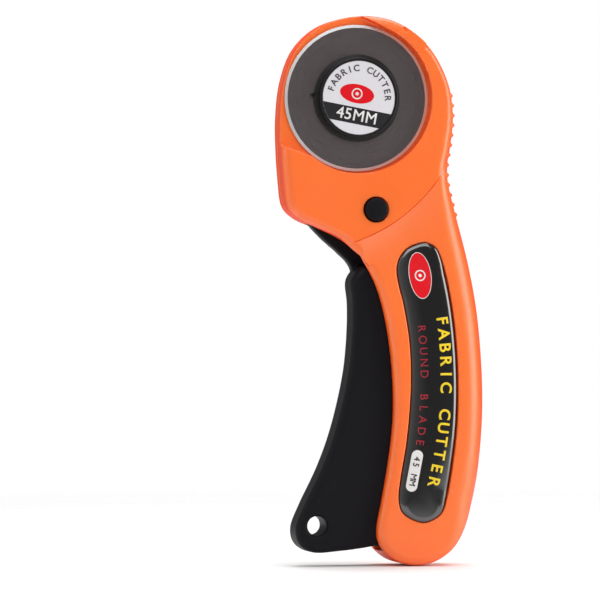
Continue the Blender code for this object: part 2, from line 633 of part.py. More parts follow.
def return_spring(parts, steel):
    """Compression spring between the trigger and the right-hand wall of the handle."""
    curve = bpy.data.curves.new("return_spring", "CURVE")
    curve.dimensions = "3D"
    curve.bevel_depth = WIRE_RADIUS
    curve.bevel_resolution = 2
    curve.use_fill_caps = True
    steps = 10 * SPRING_TURNS
    spline = curve.splines.new("POLY")
    spline.points.add(steps)
    for i in range(steps + 1):
        angle = 2 * math.pi * i / 10
        x = SPRING_FROM + (SPRING_TO - SPRING_FROM) * i / steps
        y = SPRING_RADIUS * math.cos(angle)
        z = SPRING_HEIGHT + SPRING_RADIUS * math.sin(angle)
        spline.points[i].co = (x, y, z, 1)
    curve.materials.append(steel)
    parts.objects.link(bpy.data.objects.new("return_spring", curve))


def casing_screws(parts, steel):
    for names, seat, tip in (
        (HEAD_SCREWS, HEAD_SCREW_SEAT + GAP, HEAD_SCREW_TIP),
        (HANDLE_SCREWS, HANDLE_SCREW_SEAT + GAP, HANDLE_SCREW_TIP),
    ):
        for name, place in names.items():
            turned(name, [
                (0, seat + SCREW_HEAD_HEIGHT),
                (SCREW_HEAD_RADIUS - 0.5 * MM, seat + SCREW_HEAD_HEIGHT),
                (SCREW_HEAD_RADIUS, seat + 0.7 * MM), (SCREW_HEAD_RADIUS, seat),
                (SCREW_SHANK_RADIUS, seat), (SCREW_SHANK_RADIUS, tip), (0, tip),
            ], metres([place])[0], parts, steel, sides=16)


def build():
    clear_scene()
    parts = collection("rotary_cutter")
    cutters = collection("cutters")
    orange = material("orange_plastic", ORANGE)
    gloss = material("gloss_black_plastic", GLOSS_BLACK)
    matt = material("matt_black_plastic", MATT_BLACK)
    steel = material("plated_steel", STEEL)
    front_shell(parts, cutters, orange)
    rear_shell(parts, cutters, orange)
    inlay("front_inlay", -1, parts, cutters, gloss)
    inlay("rear_inlay", 1, parts, cutters, gloss)
    trigger_lever(parts, cutters, matt)
    round_blade(parts, cutters, material("blade_steel", BLADE_STEEL))
    spindle_parts(parts, gloss, steel, material("label_white", LABEL_WHITE))
    tension_nut(parts, cutters, matt)
    lock_button(parts, matt, steel)
    pivot_pin(parts, steel)
    return_spring(parts, steel)
    casing_screws(parts, steel)


build()
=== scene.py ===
"""Looks of a squeeze-handle rotary cutter, laid out as a Blender add-on and run as a script.

It stands upright: +Z runs from the hand grip up to the blade, +X points to the thumb side,
and the blade and the cap face -Y. All lengths are in metres.
"""

import json
import math

import bmesh
import bpy
from bpy.props import FloatProperty, FloatVectorProperty, IntProperty, PointerProperty, StringProperty
from bpy.types import Operator, Panel, PropertyGroup
from mathutils import Matrix, Vector
from mathutils.bvhtree import BVHTree


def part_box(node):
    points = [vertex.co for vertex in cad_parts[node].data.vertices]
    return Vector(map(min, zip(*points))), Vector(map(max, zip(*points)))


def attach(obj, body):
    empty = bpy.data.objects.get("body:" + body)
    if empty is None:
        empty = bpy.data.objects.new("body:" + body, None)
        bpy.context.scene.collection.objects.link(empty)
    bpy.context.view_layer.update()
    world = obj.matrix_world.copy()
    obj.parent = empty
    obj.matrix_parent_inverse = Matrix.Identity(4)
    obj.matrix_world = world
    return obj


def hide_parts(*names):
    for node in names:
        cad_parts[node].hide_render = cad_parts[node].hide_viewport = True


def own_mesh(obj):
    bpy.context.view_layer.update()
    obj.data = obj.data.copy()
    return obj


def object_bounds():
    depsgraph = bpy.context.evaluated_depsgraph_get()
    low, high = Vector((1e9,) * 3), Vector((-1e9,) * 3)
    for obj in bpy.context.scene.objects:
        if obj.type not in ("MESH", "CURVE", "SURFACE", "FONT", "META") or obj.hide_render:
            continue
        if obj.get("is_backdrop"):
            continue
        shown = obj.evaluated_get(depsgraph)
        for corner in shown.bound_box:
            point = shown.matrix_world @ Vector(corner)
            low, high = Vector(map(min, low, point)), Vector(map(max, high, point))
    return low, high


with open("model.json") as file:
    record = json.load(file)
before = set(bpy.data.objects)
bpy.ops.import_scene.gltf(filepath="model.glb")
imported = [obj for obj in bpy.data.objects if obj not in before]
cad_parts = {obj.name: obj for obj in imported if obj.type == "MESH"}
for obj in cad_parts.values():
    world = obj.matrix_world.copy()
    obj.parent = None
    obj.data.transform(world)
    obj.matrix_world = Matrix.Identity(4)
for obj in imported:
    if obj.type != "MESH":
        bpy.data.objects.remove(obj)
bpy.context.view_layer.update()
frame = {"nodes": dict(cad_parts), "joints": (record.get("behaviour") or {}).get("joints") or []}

bl_info = {
    "name": "Rotary cutter",
    "version": (1, 0, 0),
    "blender": (4, 5, 0),
    "location": "3D View > Sidebar > Cutter",
    "description": "Builds the casing, trigger, blade and spindle parts of a rotary cutter",
    "category": "Add Mesh",
}

MM = 0.001
JOINTS = {joint["name"]: joint for joint in frame["joints"]}
# Least share of its volume that a solid keeps when its edges are softened
LEAST_KEPT = 0.9


def place_of(joint):
    x, _, z = JOINTS[joint]["pos_m"]
    return (x, z)


def middle_of(node):
    low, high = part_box(node)
    return ((low.x + high.x) / 2, (low.z + high.z) / 2)


SPINDLE = place_of("blade_spin")
PIVOT = place_of("trigger_squeeze")
BUTTON = middle_of("lock_button")
LEVER_TRAVEL = math.radians(JOINTS["trigger_squeeze"]["range_deg"][1])

# Levels through the thickness, as Y: the front is negative
HANDLE_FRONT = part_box("front_shell")[0].y
PARTING_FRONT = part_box("front_shell")[1].y
PARTING_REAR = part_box("rear_shell")[0].y
GRIP_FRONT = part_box("trigger_lever")[0].y
GRIP_REAR = -GRIP_FRONT
BLADE_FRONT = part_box("blade")[0].y
BLADE_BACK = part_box("blade")[1].y
GUARD_FRONT = BLADE_BACK + 0.3 * MM
GUARD_INNER = GUARD_FRONT + 2.2 * MM
HEAD_FRONT = -6.5 * MM
HEAD_REAR = 7.6 * MM
HEAD_REAR_INNER = 5.6 * MM
PLATE_FRONT = 0.1 * MM
PLATE_REAR = 4.5 * MM
SLOT_FACE = 6.3 * MM
INLAY_DEPTH = 2.4 * MM
CREASE_CENTRE = (-25.2 * MM, 64.3 * MM)
CREASE_RADIUS = 52.0 * MM
HANG_HOLE = (-20.6 * MM, -72.0 * MM)
PRINT_FILM = 0.04 * MM
PALE_INK = (0.78, 0.76, 0.74)
DARK_INK = (0.02, 0.02, 0.022)
POCKET_RADIUS = 23.1 * MM
# Screws of the casing: the posts that they stand in, their holes, and the sunk holes of their heads
POST_RADIUS = 3.0 * MM
SCREW_RADIUS = 1.6 * MM
HEAD_HOLE_RADIUS = 3.1 * MM
SCREW_HEAD_HEIGHT = 1.6 * MM
POCKET_ENDS = ((231, 161), (424, 154))

# Outlines as (x, z) in millimetres, clockwise from the top, to be joined by a smooth curve
CASING_OUTLINE = [
    (-5.5, 84.2), (3.2, 82.9), (11.0, 78.5), (16.9, 71.9), (21.0, 63.0), (22.5, 53.5),
    (21.9, 44.8), (21.0, 38.5), (21.2, 33.0), (22.6, 26.5), (24.8, 18.0), (27.6, 6.5),
    (29.9, -6.0), (31.3, -20.0), (31.8, -34.0), (31.2, -47.0), (29.6, -59.5), (26.8, -70.5),
    (22.8, -78.0), (17.2, -82.6), (11.0, -84.3), (5.0, -83.4), (0.6, -80.6), (-2.0, -76.8),
    (-2.4, -72.5), (-1.1, -65.5), (0.8, -55.0), (2.3, -44.0), (2.8, -34.0), (2.2, -22.0),
    (0.5, -10.0), (-2.3, 0.5), (-6.3, 8.2), (-12.0, 15.1), (-19.7, 19.1), (-26.2, 22.2),
    (-29.7, 26.0), (-30.8, 33.0), (-31.5, 43.0), (-31.6, 53.0), (-30.4, 63.5), (-27.0, 73.0),
    (-21.0, 79.6), (-13.8, 83.0),
]
INLAY_OUTLINE = [
    (10.6, 14.6), (6.4, 12.6), (3.8, 8.6), (3.6, 3.6), (5.6, -5.0), (7.3, -15.5),
    (7.8, -26.0), (7.4, -36.5), (6.3, -47.0), (4.6, -57.0), (3.9, -64.0), (5.6, -68.6),
    (11.6, -71.2), (17.0, -68.9), (19.2, -63.8), (21.2, -52.5), (22.5, -41.0), (22.8, -29.0),
    (22.3, -17.0), (20.9, -5.0), (18.9, 5.0), (16.6, 12.0), (13.8, 14.5),
]
PLATE_OUTLINE = [
    (-7.8, 68.6), (-1.0, 65.6), (1.6, 59.0), (3.4, 46.0), (6.2, 33.0), (7.2, 24.0),
    (8.0, 14.0), (9.5, 4.5), (8.0, -4.0), (0.0, -6.0), (-6.5, -1.0), (-8.6, 7.0),
    (-12.4, 11.4), (-16.8, 15.2), (-21.0, 19.4), (-24.8, 24.0), (-26.6, 30.0), (-25.9, 35.6),
    (-21.6, 41.0), (-18.4, 49.0), (-17.4, 59.0), (-14.4, 66.0),
]
GRIP_OUTLINE = [
    (-7.7, 6.3), (-5.6, 7.6), (0.0, 6.6), (5.0, 4.4), (9.4, 1.0), (10.6, -8.0), (10.8, -22.0),
    (10.0, -36.0), (8.2, -50.0), (5.8, -63.0), (3.8, -73.0), (1.6, -77.2), (-5.0, -78.8),
    (-14.0, -79.9), (-21.5, -80.2), (-26.0, -77.6), (-27.1, -72.6), (-24.4, -65.6),
    (-19.3, -55.2), (-15.5, -45.4), (-12.6, -35.0), (-10.4, -24.0), (-9.4, -13.0),
    (-9.3, -4.0), (-9.9, 1.6), (-9.3, 4.3),
]
HEAD_CAVITY = [
    (-29.0, 40.0), (-28.4, 30.6), (-26.8, 25.4), (-22.6, 21.0), (-22.0, 15.0), (-14.0, 3.0),
    (0.0, 4.0), (16.0, 6.0), (18.0, 20.0), (18.2, 31.0), (18.4, 38.0), (19.4, 45.0),
    (20.0, 53.5), (18.8, 62.0), (15.0, 70.4), (9.6, 76.5), (2.8, 80.5), (-5.5, 81.6),
    (-13.0, 80.6), (-19.4, 77.6), (-24.8, 71.6), (-28.0, 62.8), (-29.1, 53.0),
]
SLOT = [
    (-9.2, 11.0), (20.6, 11.0), (22.6, 5.0), (25.4, -6.0), (27.4, -20.0), (28.4, -34.0),
    (27.8, -47.0), (26.2, -59.0), (23.6, -69.5), (20.2, -76.2), (15.6, -80.0), (10.0, -81.0),
    (3.0, -79.8), (-40.0, -79.8), (-40.0, -20.0), (-14.0, 5.0),
]
CASING_SPINE = [
    (-6.0, 62.0), (-5.9, 54.0), (-5.0, 46.0), (-3.2, 38.5), (-0.4, 31.0), (3.0, 23.5),
    (6.4, 16.0), (9.4, 8.0), (11.8, 0.0), (13.8, -9.0), (15.4, -18.0), (16.3, -27.0),
    (16.6, -36.0), (16.0, -46.0), (14.6, -56.0), (13.0, -64.0), (11.5, -72.0),
]
INLAY_SPINE = [(11.0, 8.0), (13.5, -10.0), (15.2, -28.0), (13.6, -48.0), (11.6, -63.0)]
GRIP_SPINE = [(-2.0, 0.0), (0.5, -22.0), (-3.0, -45.0), (-10.0, -64.0), (-14.0, -72.0)]
SCREWS = ("screw_head_top", "screw_head_side", "screw_neck", "screw_handle", "screw_tail")


# Settings

class CasingSettings(PropertyGroup):
    colour: FloatVectorProperty(
        name="Colour", description="Moulded plastic of both shells", subtype="COLOR",
        size=3, min=0, max=1, default=(1.0, 0.176, 0.026),
    )
    # Painted shade: a redder colour that the casing takes where its face turns away from the camera, in place of the
    # deeper shade along its edges.
    painted_rim_shade: FloatVectorProperty(
        name="Rim colour", description="Redder look of the plastic where it turns away", subtype="COLOR",
        size=3, min=0, max=1, default=(1.0, 0.062, 0.008),
    )
    roughness: FloatProperty(
        name="Roughness", description="Satin of the moulded face", default=0.36, min=0, max=1,
    )
    thumb_radius: FloatProperty(
        name="Thumb radius", description="Rounding of the handle's thumb side",
        default=7.0 * MM, unit="LENGTH",
    )
    ridges: IntProperty(
        name="Thumb ridges", description="Ridges down the thumb side", default=13, min=0,
    )
    ridge_pitch: FloatProperty(
        name="Ridge pitch", description="Distance from one ridge to the next",
        default=3.05 * MM, unit="LENGTH",
    )
    ridge_height: FloatProperty(
        name="Ridge height", description="How far a ridge stands out", default=0.6 * MM, unit="LENGTH",
    )


class TriggerSettings(PropertyGroup):
    colour: FloatVectorProperty(
        name="Colour", description="Matt moulded plastic", subtype="COLOR",
        size=3, min=0, max=1, default=(0.0045, 0.0042, 0.006),
    )
    edge_radius: FloatProperty(
        name="Edge radius", description="Rounding of the trigger's edges",
        default=2.6 * MM, unit="LENGTH",
    )
    hole_radius: FloatProperty(
        name="Hang hole radius", description="Hole at the trigger's lower end",
        default=3.0 * MM, unit="LENGTH",
    )


class InlaySettings(PropertyGroup):
    colour: FloatVectorProperty(
        name="Colour", description="Glossy panel", subtype="COLOR",
        size=3, min=0, max=1, default=(0.003, 0.0028, 0.003),
    )
    title: StringProperty(
        name="Title", description="Large words down the panel", default="FABRIC CUTTER",
    )
    title_colour: FloatVectorProperty(
        name="Title colour", description="Ink of the large words", subtype="COLOR",
        size=3, min=0, max=1, default=(0.86, 0.62, 0.02),
    )
    note: StringProperty(
        name="Note", description="Small words beside the title", default="ROUND BLADE",
    )
    note_colour: FloatVectorProperty(
        name="Note colour", description="Ink of the small words", subtype="COLOR",
        size=3, min=0, max=1, default=(0.36, 0.02, 0.035),
    )
    badge_colour: FloatVectorProperty(
        name="Badge colour", description="Oval patches on the panel and the cap", subtype="COLOR",
        size=3, min=0, max=1, default=(0.72, 0.006, 0.014),
    )


class BladeSettings(PropertyGroup):
    radius: FloatProperty(
        name="Radius", description="Cutting edge", default=22.5 * MM, unit="LENGTH",
    )
    bevel: FloatProperty(
        name="Bevel", description="Width of the honed rim", default=0.9 * MM, unit="LENGTH",
    )
    colour: FloatVectorProperty(
        name="Colour", description="Ground steel", subtype="COLOR",
        size=3, min=0, max=1, default=(0.33, 0.28, 0.285),
    )


class CapSettings(PropertyGroup):
    radius: FloatProperty(
        name="Radius", description="Foot of the cap", default=13.4 * MM, unit="LENGTH",
    )
    label_radius: FloatProperty(
        name="Label radius", description="Printed disc", default=11.3 * MM, unit="LENGTH",
    )
    tilt: FloatProperty(
        name="Tilt", description="Turn of the printing", default=math.radians(-10.5), subtype="ANGLE",
    )


class StageSettings(PropertyGroup):
    distance: FloatProperty(
        name="Camera distance", description="From the middle of the cutter", default=1.5, unit="LENGTH",
    )
    azimuth: FloatProperty(
        name="Camera azimuth", description="Turn of the camera about the cutter",
        default=math.radians(-12), subtype="ANGLE",
    )


class CutterSettings(PropertyGroup):
    casing: PointerProperty(type=CasingSettings)
    trigger: PointerProperty(type=TriggerSettings)
    inlay: PointerProperty(type=InlaySettings)
    blade: PointerProperty(type=BladeSettings)
    cap: PointerProperty(type=CapSettings)
    stage: PointerProperty(type=StageSettings)


# Outlines and curves

def metres(points):
    return [(x * MM, z * MM) for x, z in points]


def smooth(points, steps):
    """The closed Catmull-Rom curve through the points, with this many steps a span."""
    curve = []
    count = len(points)
    for i in range(count):
        a, b, c, d = (points[(i + k) % count] for k in (-1, 0, 1, 2))
        for step in range(steps):
            t = step / steps
            curve.append(tuple(
                0.5 * (2 * q + (r - p) * t + (2 * p - 5 * q + 4 * r - s) * t * t
                       + (3 * q - p - 3 * r + s) * t ** 3)
                for p, q, r, s in zip(a, b, c, d)
            ))
    return curve


def arc(centre, radius, start, end, steps):
    turn = (end - start) / steps
    return [
        (centre[0] + radius * math.cos(start + turn * i), centre[1] + radius * math.sin(start + turn * i))
        for i in range(steps + 1)
    ]


def stadium(start, end, radius):
    """Outline of a slot from start to end with round ends."""
    lean = math.atan2(end[1] - start[1], end[0] - start[0])
    quarter = math.pi / 2
    far = arc(end, radius, lean - quarter, lean + quarter, 24)
    near = arc(start, radius, lean + quarter, lean + 3 * quarter, 24)
    return far + near


def ellipse(centre, half_width, half_height, tilt, steps=64):
    points = []
    for i in range(steps):
        angle = 2 * math.pi * i / steps
        x = half_width * math.cos(angle)
        z = half_height * math.sin(angle)
        points.append((
            centre[0] + x * math.cos(tilt) - z * math.sin(tilt),
            centre[1] + x * math.sin(tilt) + z * math.cos(tilt),
        ))
    return points


def about_pivot(point, angle):
    """The place of a lever point once the lever has turned: the blade swings up and left."""
    x = point[0] - PIVOT[0]
    z = point[1] - PIVOT[1]
    turned_x = x * math.cos(angle) - z * math.sin(angle)
    turned_z = x * math.sin(angle) + z * math.cos(angle)
    return (PIVOT[0] + turned_x, PIVOT[1] + turned_z)


def nearest(point, spine):
    """The nearest point to this one on a chain of straight runs."""
    best = None
    for (ax, az), (bx, bz) in zip(spine, spine[1:]):
        run = (bx - ax, bz - az)
        along = ((point[0] - ax) * run[0] + (point[1] - az) * run[1]) / (run[0] ** 2 + run[1] ** 2)
        along = min(1.0, max(0.0, along))
        found = (ax + along * run[0], az + along * run[1])
        away = math.dist(point, found)
        if best is None or away < best[0]:
            best = (away, found)
    return best[1]


def moved_in(point, spine, distance):
    target = nearest(point, spine)
    part = distance / math.dist(point, target)
    return tuple(p + (t - p) * part for p, t in zip(point, target))


def share(value, low, high):
    """How far value is from low to high, held between 0 and 1."""
    return min(1.0, max(0.0, (value - low) / (high - low)))


# Mesh work

def add(name, mesh):
    obj = bpy.data.objects.new(name, mesh)
    bpy.context.scene.collection.objects.link(obj)
    return obj


def finish_bmesh(name, bm, sharp=35):
    bmesh.ops.remove_doubles(bm, verts=bm.verts, dist=0.000001)
    bmesh.ops.recalc_face_normals(bm, faces=bm.faces)
    mesh = bpy.data.meshes.new(name)
    bm.to_mesh(mesh)
    bm.free()
    mesh.shade_smooth()
    mesh.set_sharp_from_angle(angle=math.radians(sharp))
    return add(name, mesh)


def loft(name, rings, sharp=35):
    """A closed skin over rings of points, capped at both ends."""
    bm = bmesh.new()
    loops = [[bm.verts.new(point) for point in points] for points in rings]
    for low, high in zip(loops, loops[1:]):
        for i in range(len(low)):
            j = (i + 1) % len(low)
            bm.faces.new((low[i], low[j], high[j], high[i]))
    bm.faces.new(loops[0])
    bm.faces.new(loops[-1])
    return finish_bmesh(name, bm, sharp)


def slab(name, outline, back, front, rounding=None, spine=None, round_back=False, steps=8, sharp=35):
    """A closed outline given thickness along Y, from back to front.

    rounding(x, z) gives the width and the depth of the rounded edge at each outline point,
    on the front face and, with round_back, on the back face too.
    """
    toward_front = 1 if front > back else -1
    rings = []

    def ring(angle, face, sign):
        points = []
        for x, z in outline:
            width, depth = rounding(x, z)
            px, pz = moved_in((x, z), spine, width * (1 - math.cos(angle)))
            points.append((px, face - sign * toward_front * depth * (1 - math.sin(angle)), pz))
        return points

    if rounding is None:
        rings.append([(x, back, z) for x, z in outline])
        rings.append([(x, front, z) for x, z in outline])
    else:
        angles = [math.pi / 2 * step / steps for step in range(steps + 1)]
        if round_back:
            rings.extend(ring(angle, back, -1) for angle in reversed(angles))
        else:
            rings.append([(x, back, z) for x, z in outline])
        rings.extend(ring(angle, front, 1) for angle in angles)
    return loft(name, rings, sharp)


def turned(name, profile, centre, sides=128, sharp=35):
    """A profile of (radius, y) points turned about the line along Y through centre."""
    bm = bmesh.new()
    rings = []
    for radius, y in profile:
        if radius == 0:
            rings.append([bm.verts.new((centre[0], y, centre[1]))])
            continue
        rings.append([bm.verts.new((x, y, z)) for x, z in arc(centre, radius, 0, 2 * math.pi, sides)[:-1]])
    pairs = list(zip(rings, rings[1:]))
    if profile[0][0] != 0:
        pairs.append((rings[-1], rings[0]))
    for low, high in pairs:
        for i in range(sides):
            j = (i + 1) % sides
            corners = [low[i % len(low)], low[j % len(low)], high[j % len(high)], high[i % len(high)]]
            bm.faces.new(list(dict.fromkeys(corners)))
    return finish_bmesh(name, bm, sharp)


def cylinder(name, centre, radius, back, front, sides=64):
    return turned(name, [(0, back), (radius, back), (radius, front), (0, front)], centre, sides)


def round_corner(corner, radius, start, end, steps=5):
    """Points (radius, y) of a quarter round about a corner of a turned profile."""
    return [
        (corner[0] + radius * math.cos(math.radians(start + (end - start) * i / steps)),
         corner[1] + radius * math.sin(math.radians(start + (end - start) * i / steps)))
        for i in range(steps + 1)
    ]


def settle(obj):
    """Apply an object's modifiers."""
    bpy.context.view_layer.update()
    graph = bpy.context.evaluated_depsgraph_get()
    mesh = bpy.data.meshes.new_from_object(obj.evaluated_get(graph))
    obj.modifiers.clear()
    obj.data = mesh
    return obj


def combine(obj, other, operation="DIFFERENCE", sharp=35):
    """Cut other from obj, or join it on, with an exact Boolean."""
    modifier = obj.modifiers.new("cut", "BOOLEAN")
    modifier.operation = operation
    modifier.solver = "EXACT"
    modifier.object = other
    settle(obj)
    bpy.data.objects.remove(other)
    weld(obj)
    obj.data.set_sharp_from_angle(angle=math.radians(sharp))
    return obj


def weld(obj, sliver=0.004 * MM):
    """Drop the slivers that a Boolean leaves, and close any gap that it left in the skin."""
    bm = bmesh.new()
    bm.from_mesh(obj.data)
    bmesh.ops.remove_doubles(bm, verts=bm.verts, dist=sliver)
    bmesh.ops.dissolve_degenerate(bm, edges=bm.edges, dist=sliver / 2)
    open_edges = [edge for edge in bm.edges if edge.is_boundary]
    if open_edges:
        closed = bmesh.ops.holes_fill(bm, edges=open_edges, sides=0)
        bmesh.ops.triangulate(bm, faces=closed["faces"])
    bm.to_mesh(obj.data)
    bm.free()


def volume_of(obj):
    """Volume of a closed mesh, in cubic metres."""
    bm = bmesh.new()
    bm.from_mesh(obj.data)
    volume = bm.calc_volume()
    bm.free()
    return volume


def soften(obj, voxel, passes=3):
    """Rebuild a cut solid as one even skin, so that its edges get small moulded roundings."""
    skin = obj.modifiers.new("skin", "REMESH")
    skin.mode = "VOXEL"
    skin.voxel_size = voxel
    relax = obj.modifiers.new("relax", "SMOOTH")
    relax.factor = 0.5
    relax.iterations = passes
    before = volume_of(obj)
    settle(obj)
    if volume_of(obj) < LEAST_KEPT * before:
        raise RuntimeError(f"{obj.name} lost part of its solid when it was softened")
    return obj


def thin_out(obj, keep):
    """Drop the faces that a flat or even stretch doesn't need."""
    thin = obj.modifiers.new("thin", "DECIMATE")
    thin.ratio = keep
    settle(obj)
    obj.data.shade_smooth()
    return obj


def dress(obj, material, body, slot, *nodes):
    obj.data.materials.clear()
    obj.data.materials.append(material)
    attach(obj, body)
    if nodes:
        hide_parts(*nodes)
    return obj


# Shared shader groups

def new_group(name, inputs, outputs):
    tree = bpy.data.node_groups.new(name, "ShaderNodeTree")
    for label, default in inputs:
        socket = tree.interface.new_socket(name=label, in_out="INPUT", socket_type="NodeSocketFloat")
        socket.default_value = default
    for label, kind in outputs:
        tree.interface.new_socket(name=label, in_out="OUTPUT", socket_type=kind)
    return tree, tree.nodes.new("NodeGroupInput"), tree.nodes.new("NodeGroupOutput")


def node(tree, kind, **values):
    made = tree.nodes.new(kind)
    for name, value in values.items():
        setattr(made, name, value)
    return made


def noise(tree, vector, scale, detail=4.0, rough=0.5):
    made = node(tree, "ShaderNodeTexNoise")
    made.inputs["Detail"].default_value = detail
    made.inputs["Roughness"].default_value = rough
    if isinstance(scale, (int, float)):
        made.inputs["Scale"].default_value = scale
    else:
        tree.links.new(scale, made.inputs["Scale"])
    if vector:
        tree.links.new(vector, made.inputs["Vector"])
    return made.outputs["Fac"]


def maths(tree, operation, a, b=None, clamp=False):
    made = node(tree, "ShaderNodeMath", operation=operation, use_clamp=clamp)
    for socket, value in zip(made.inputs, (a, b)):
        if value is None:
            continue
        if isinstance(value, (int, float)):
            socket.default_value = value
        else:
            tree.links.new(value, socket)
    return made.outputs[0]


def spread(tree, value, low, high, to_low, to_high):
    made = node(tree, "ShaderNodeMapRange")
    tree.links.new(value, made.inputs["Value"])
    for label, number in (("From Min", low), ("From Max", high), ("To Min", to_low), ("To Max", to_high)):
        if isinstance(number, (int, float)):
            made.inputs[label].default_value = number
        else:
            tree.links.new(number, made.inputs[label])
    return made.outputs["Result"]


def grain_group():
    """Moulded grain: a fine spark-eroded height, slow ripples of the skin and soft smudges."""
    name = "moulded_grain"
    if name in bpy.data.node_groups:
        return bpy.data.node_groups[name]
    tree, source, sink = new_group(
        name, [("Scale", 4000.0), ("Ripple", 0.3)],
        [("Height", "NodeSocketFloat"), ("Smudge", "NodeSocketFloat"), ("Tone", "NodeSocketFloat")],
    )
    place = node(tree, "ShaderNodeTexCoord").outputs["Object"]
    fine = noise(tree, place, source.outputs["Scale"], 3.0, 0.6)
    slow = noise(tree, place, 60.0, 2.0, 0.5)
    ripple = maths(tree, "MULTIPLY", slow, source.outputs["Ripple"])
    tree.links.new(maths(tree, "ADD", fine, ripple), sink.inputs["Height"])
    smudge = spread(tree, noise(tree, place, 45.0, 5.0, 0.6), 0.35, 0.7, 0.0, 1.0)
    tree.links.new(smudge, sink.inputs["Smudge"])
    tree.links.new(spread(tree, noise(tree, place, 18.0, 3.0, 0.5), 0.3, 0.7, 0.0, 1.0), sink.inputs["Tone"])
    return tree


def wear_group():
    """Rubbed edges: a mask that is 1 along convex edges, broken up by a coarse noise."""
    name = "rubbed_edges"
    if name in bpy.data.node_groups:
        return bpy.data.node_groups[name]
    tree, source, sink = new_group(name, [("Amount", 1.0)], [("Mask", "NodeSocketFloat")])
    edge = node(tree, "ShaderNodeNewGeometry").outputs["Pointiness"]
    place = node(tree, "ShaderNodeTexCoord").outputs["Object"]
    convex = spread(tree, edge, 0.52, 0.62, 0.0, 1.0)
    broken = spread(tree, noise(tree, place, 220.0, 4.0, 0.6), 0.4, 0.65, 0.2, 1.0)
    tree.links.new(
        maths(
            tree, "MULTIPLY", maths(tree, "MULTIPLY", convex, broken), source.outputs["Amount"], clamp=True,
        ),
        sink.inputs["Mask"],
    )
    return tree


def turned_marks_group():
    """Lathe and grinding marks: a height that runs in rings about a line along Y."""
    name = "turning_marks"
    if name in bpy.data.node_groups:
        return bpy.data.node_groups[name]
    tree, source, sink = new_group(
        name, [("Centre X", 0.0), ("Centre Z", 0.0), ("Rings", 9000.0), ("Rays", 0.0)],
        [("Height", "NodeSocketFloat"), ("Radius", "NodeSocketFloat"), ("Cloud", "NodeSocketFloat")],
    )
    place = node(tree, "ShaderNodeTexCoord").outputs["Object"]
    parts = node(tree, "ShaderNodeSeparateXYZ")
    tree.links.new(place, parts.inputs[0])
    x = maths(tree, "SUBTRACT", parts.outputs["X"], source.outputs["Centre X"])
    z = maths(tree, "SUBTRACT", parts.outputs["Z"], source.outputs["Centre Z"])
    square = maths(tree, "ADD", maths(tree, "MULTIPLY", x, x), maths(tree, "MULTIPLY", z, z))
    radius = maths(tree, "SQRT", square)
    angle = maths(tree, "ARCTAN2", z, x)
    pair = node(tree, "ShaderNodeCombineXYZ")
    tree.links.new(maths(tree, "MULTIPLY", radius, source.outputs["Rings"]), pair.inputs["X"])
    tree.links.new(maths(tree, "MULTIPLY", angle, source.outputs["Rays"]), pair.inputs["Y"])
    tree.links.new(noise(tree, pair.outputs[0], 1.0, 3.0, 0.6), sink.inputs["Height"])
    tree.links.new(radius, sink.inputs["Radius"])
    tree.links.new(noise(tree, place, 70.0, 4.0, 0.55), sink.inputs["Cloud"])
    return tree


# Materials

def start_material(name):
    made = bpy.data.materials.new(name)
    made.use_nodes = True
    return made, made.node_tree, made.node_tree.nodes["Principled BSDF"]


def put_group(tree, group, **values):
    made = node(tree, "ShaderNodeGroup")
    made.node_tree = group
    for name, value in values.items():
        made.inputs[name.replace("_", " ")].default_value = value
    return made


def mix_colour(tree, mask, low, high):
    made = node(tree, "ShaderNodeMix", data_type="RGBA")
    tree.links.new(mask, made.inputs["Factor"])
    for label, value in (("A", low), ("B", high)):
        socket = next(s for s in made.inputs if s.name == label and s.type == "RGBA")
        if isinstance(value, (tuple, list)):
            socket.default_value = (*value, 1.0)
        else:
            tree.links.new(value, socket)
    return next(s for s in made.outputs if s.type == "RGBA")


def scaled(colour, factor):
    return tuple(min(1.0, channel * factor) for channel in colour)


def bump(tree, shader, height, strength, distance):
    made = node(tree, "ShaderNodeBump")
    made.inputs["Strength"].default_value = strength
    made.inputs["Distance"].default_value = distance
    tree.links.new(height, made.inputs["Height"])
    tree.links.new(made.outputs["Normal"], shader.inputs["Normal"])


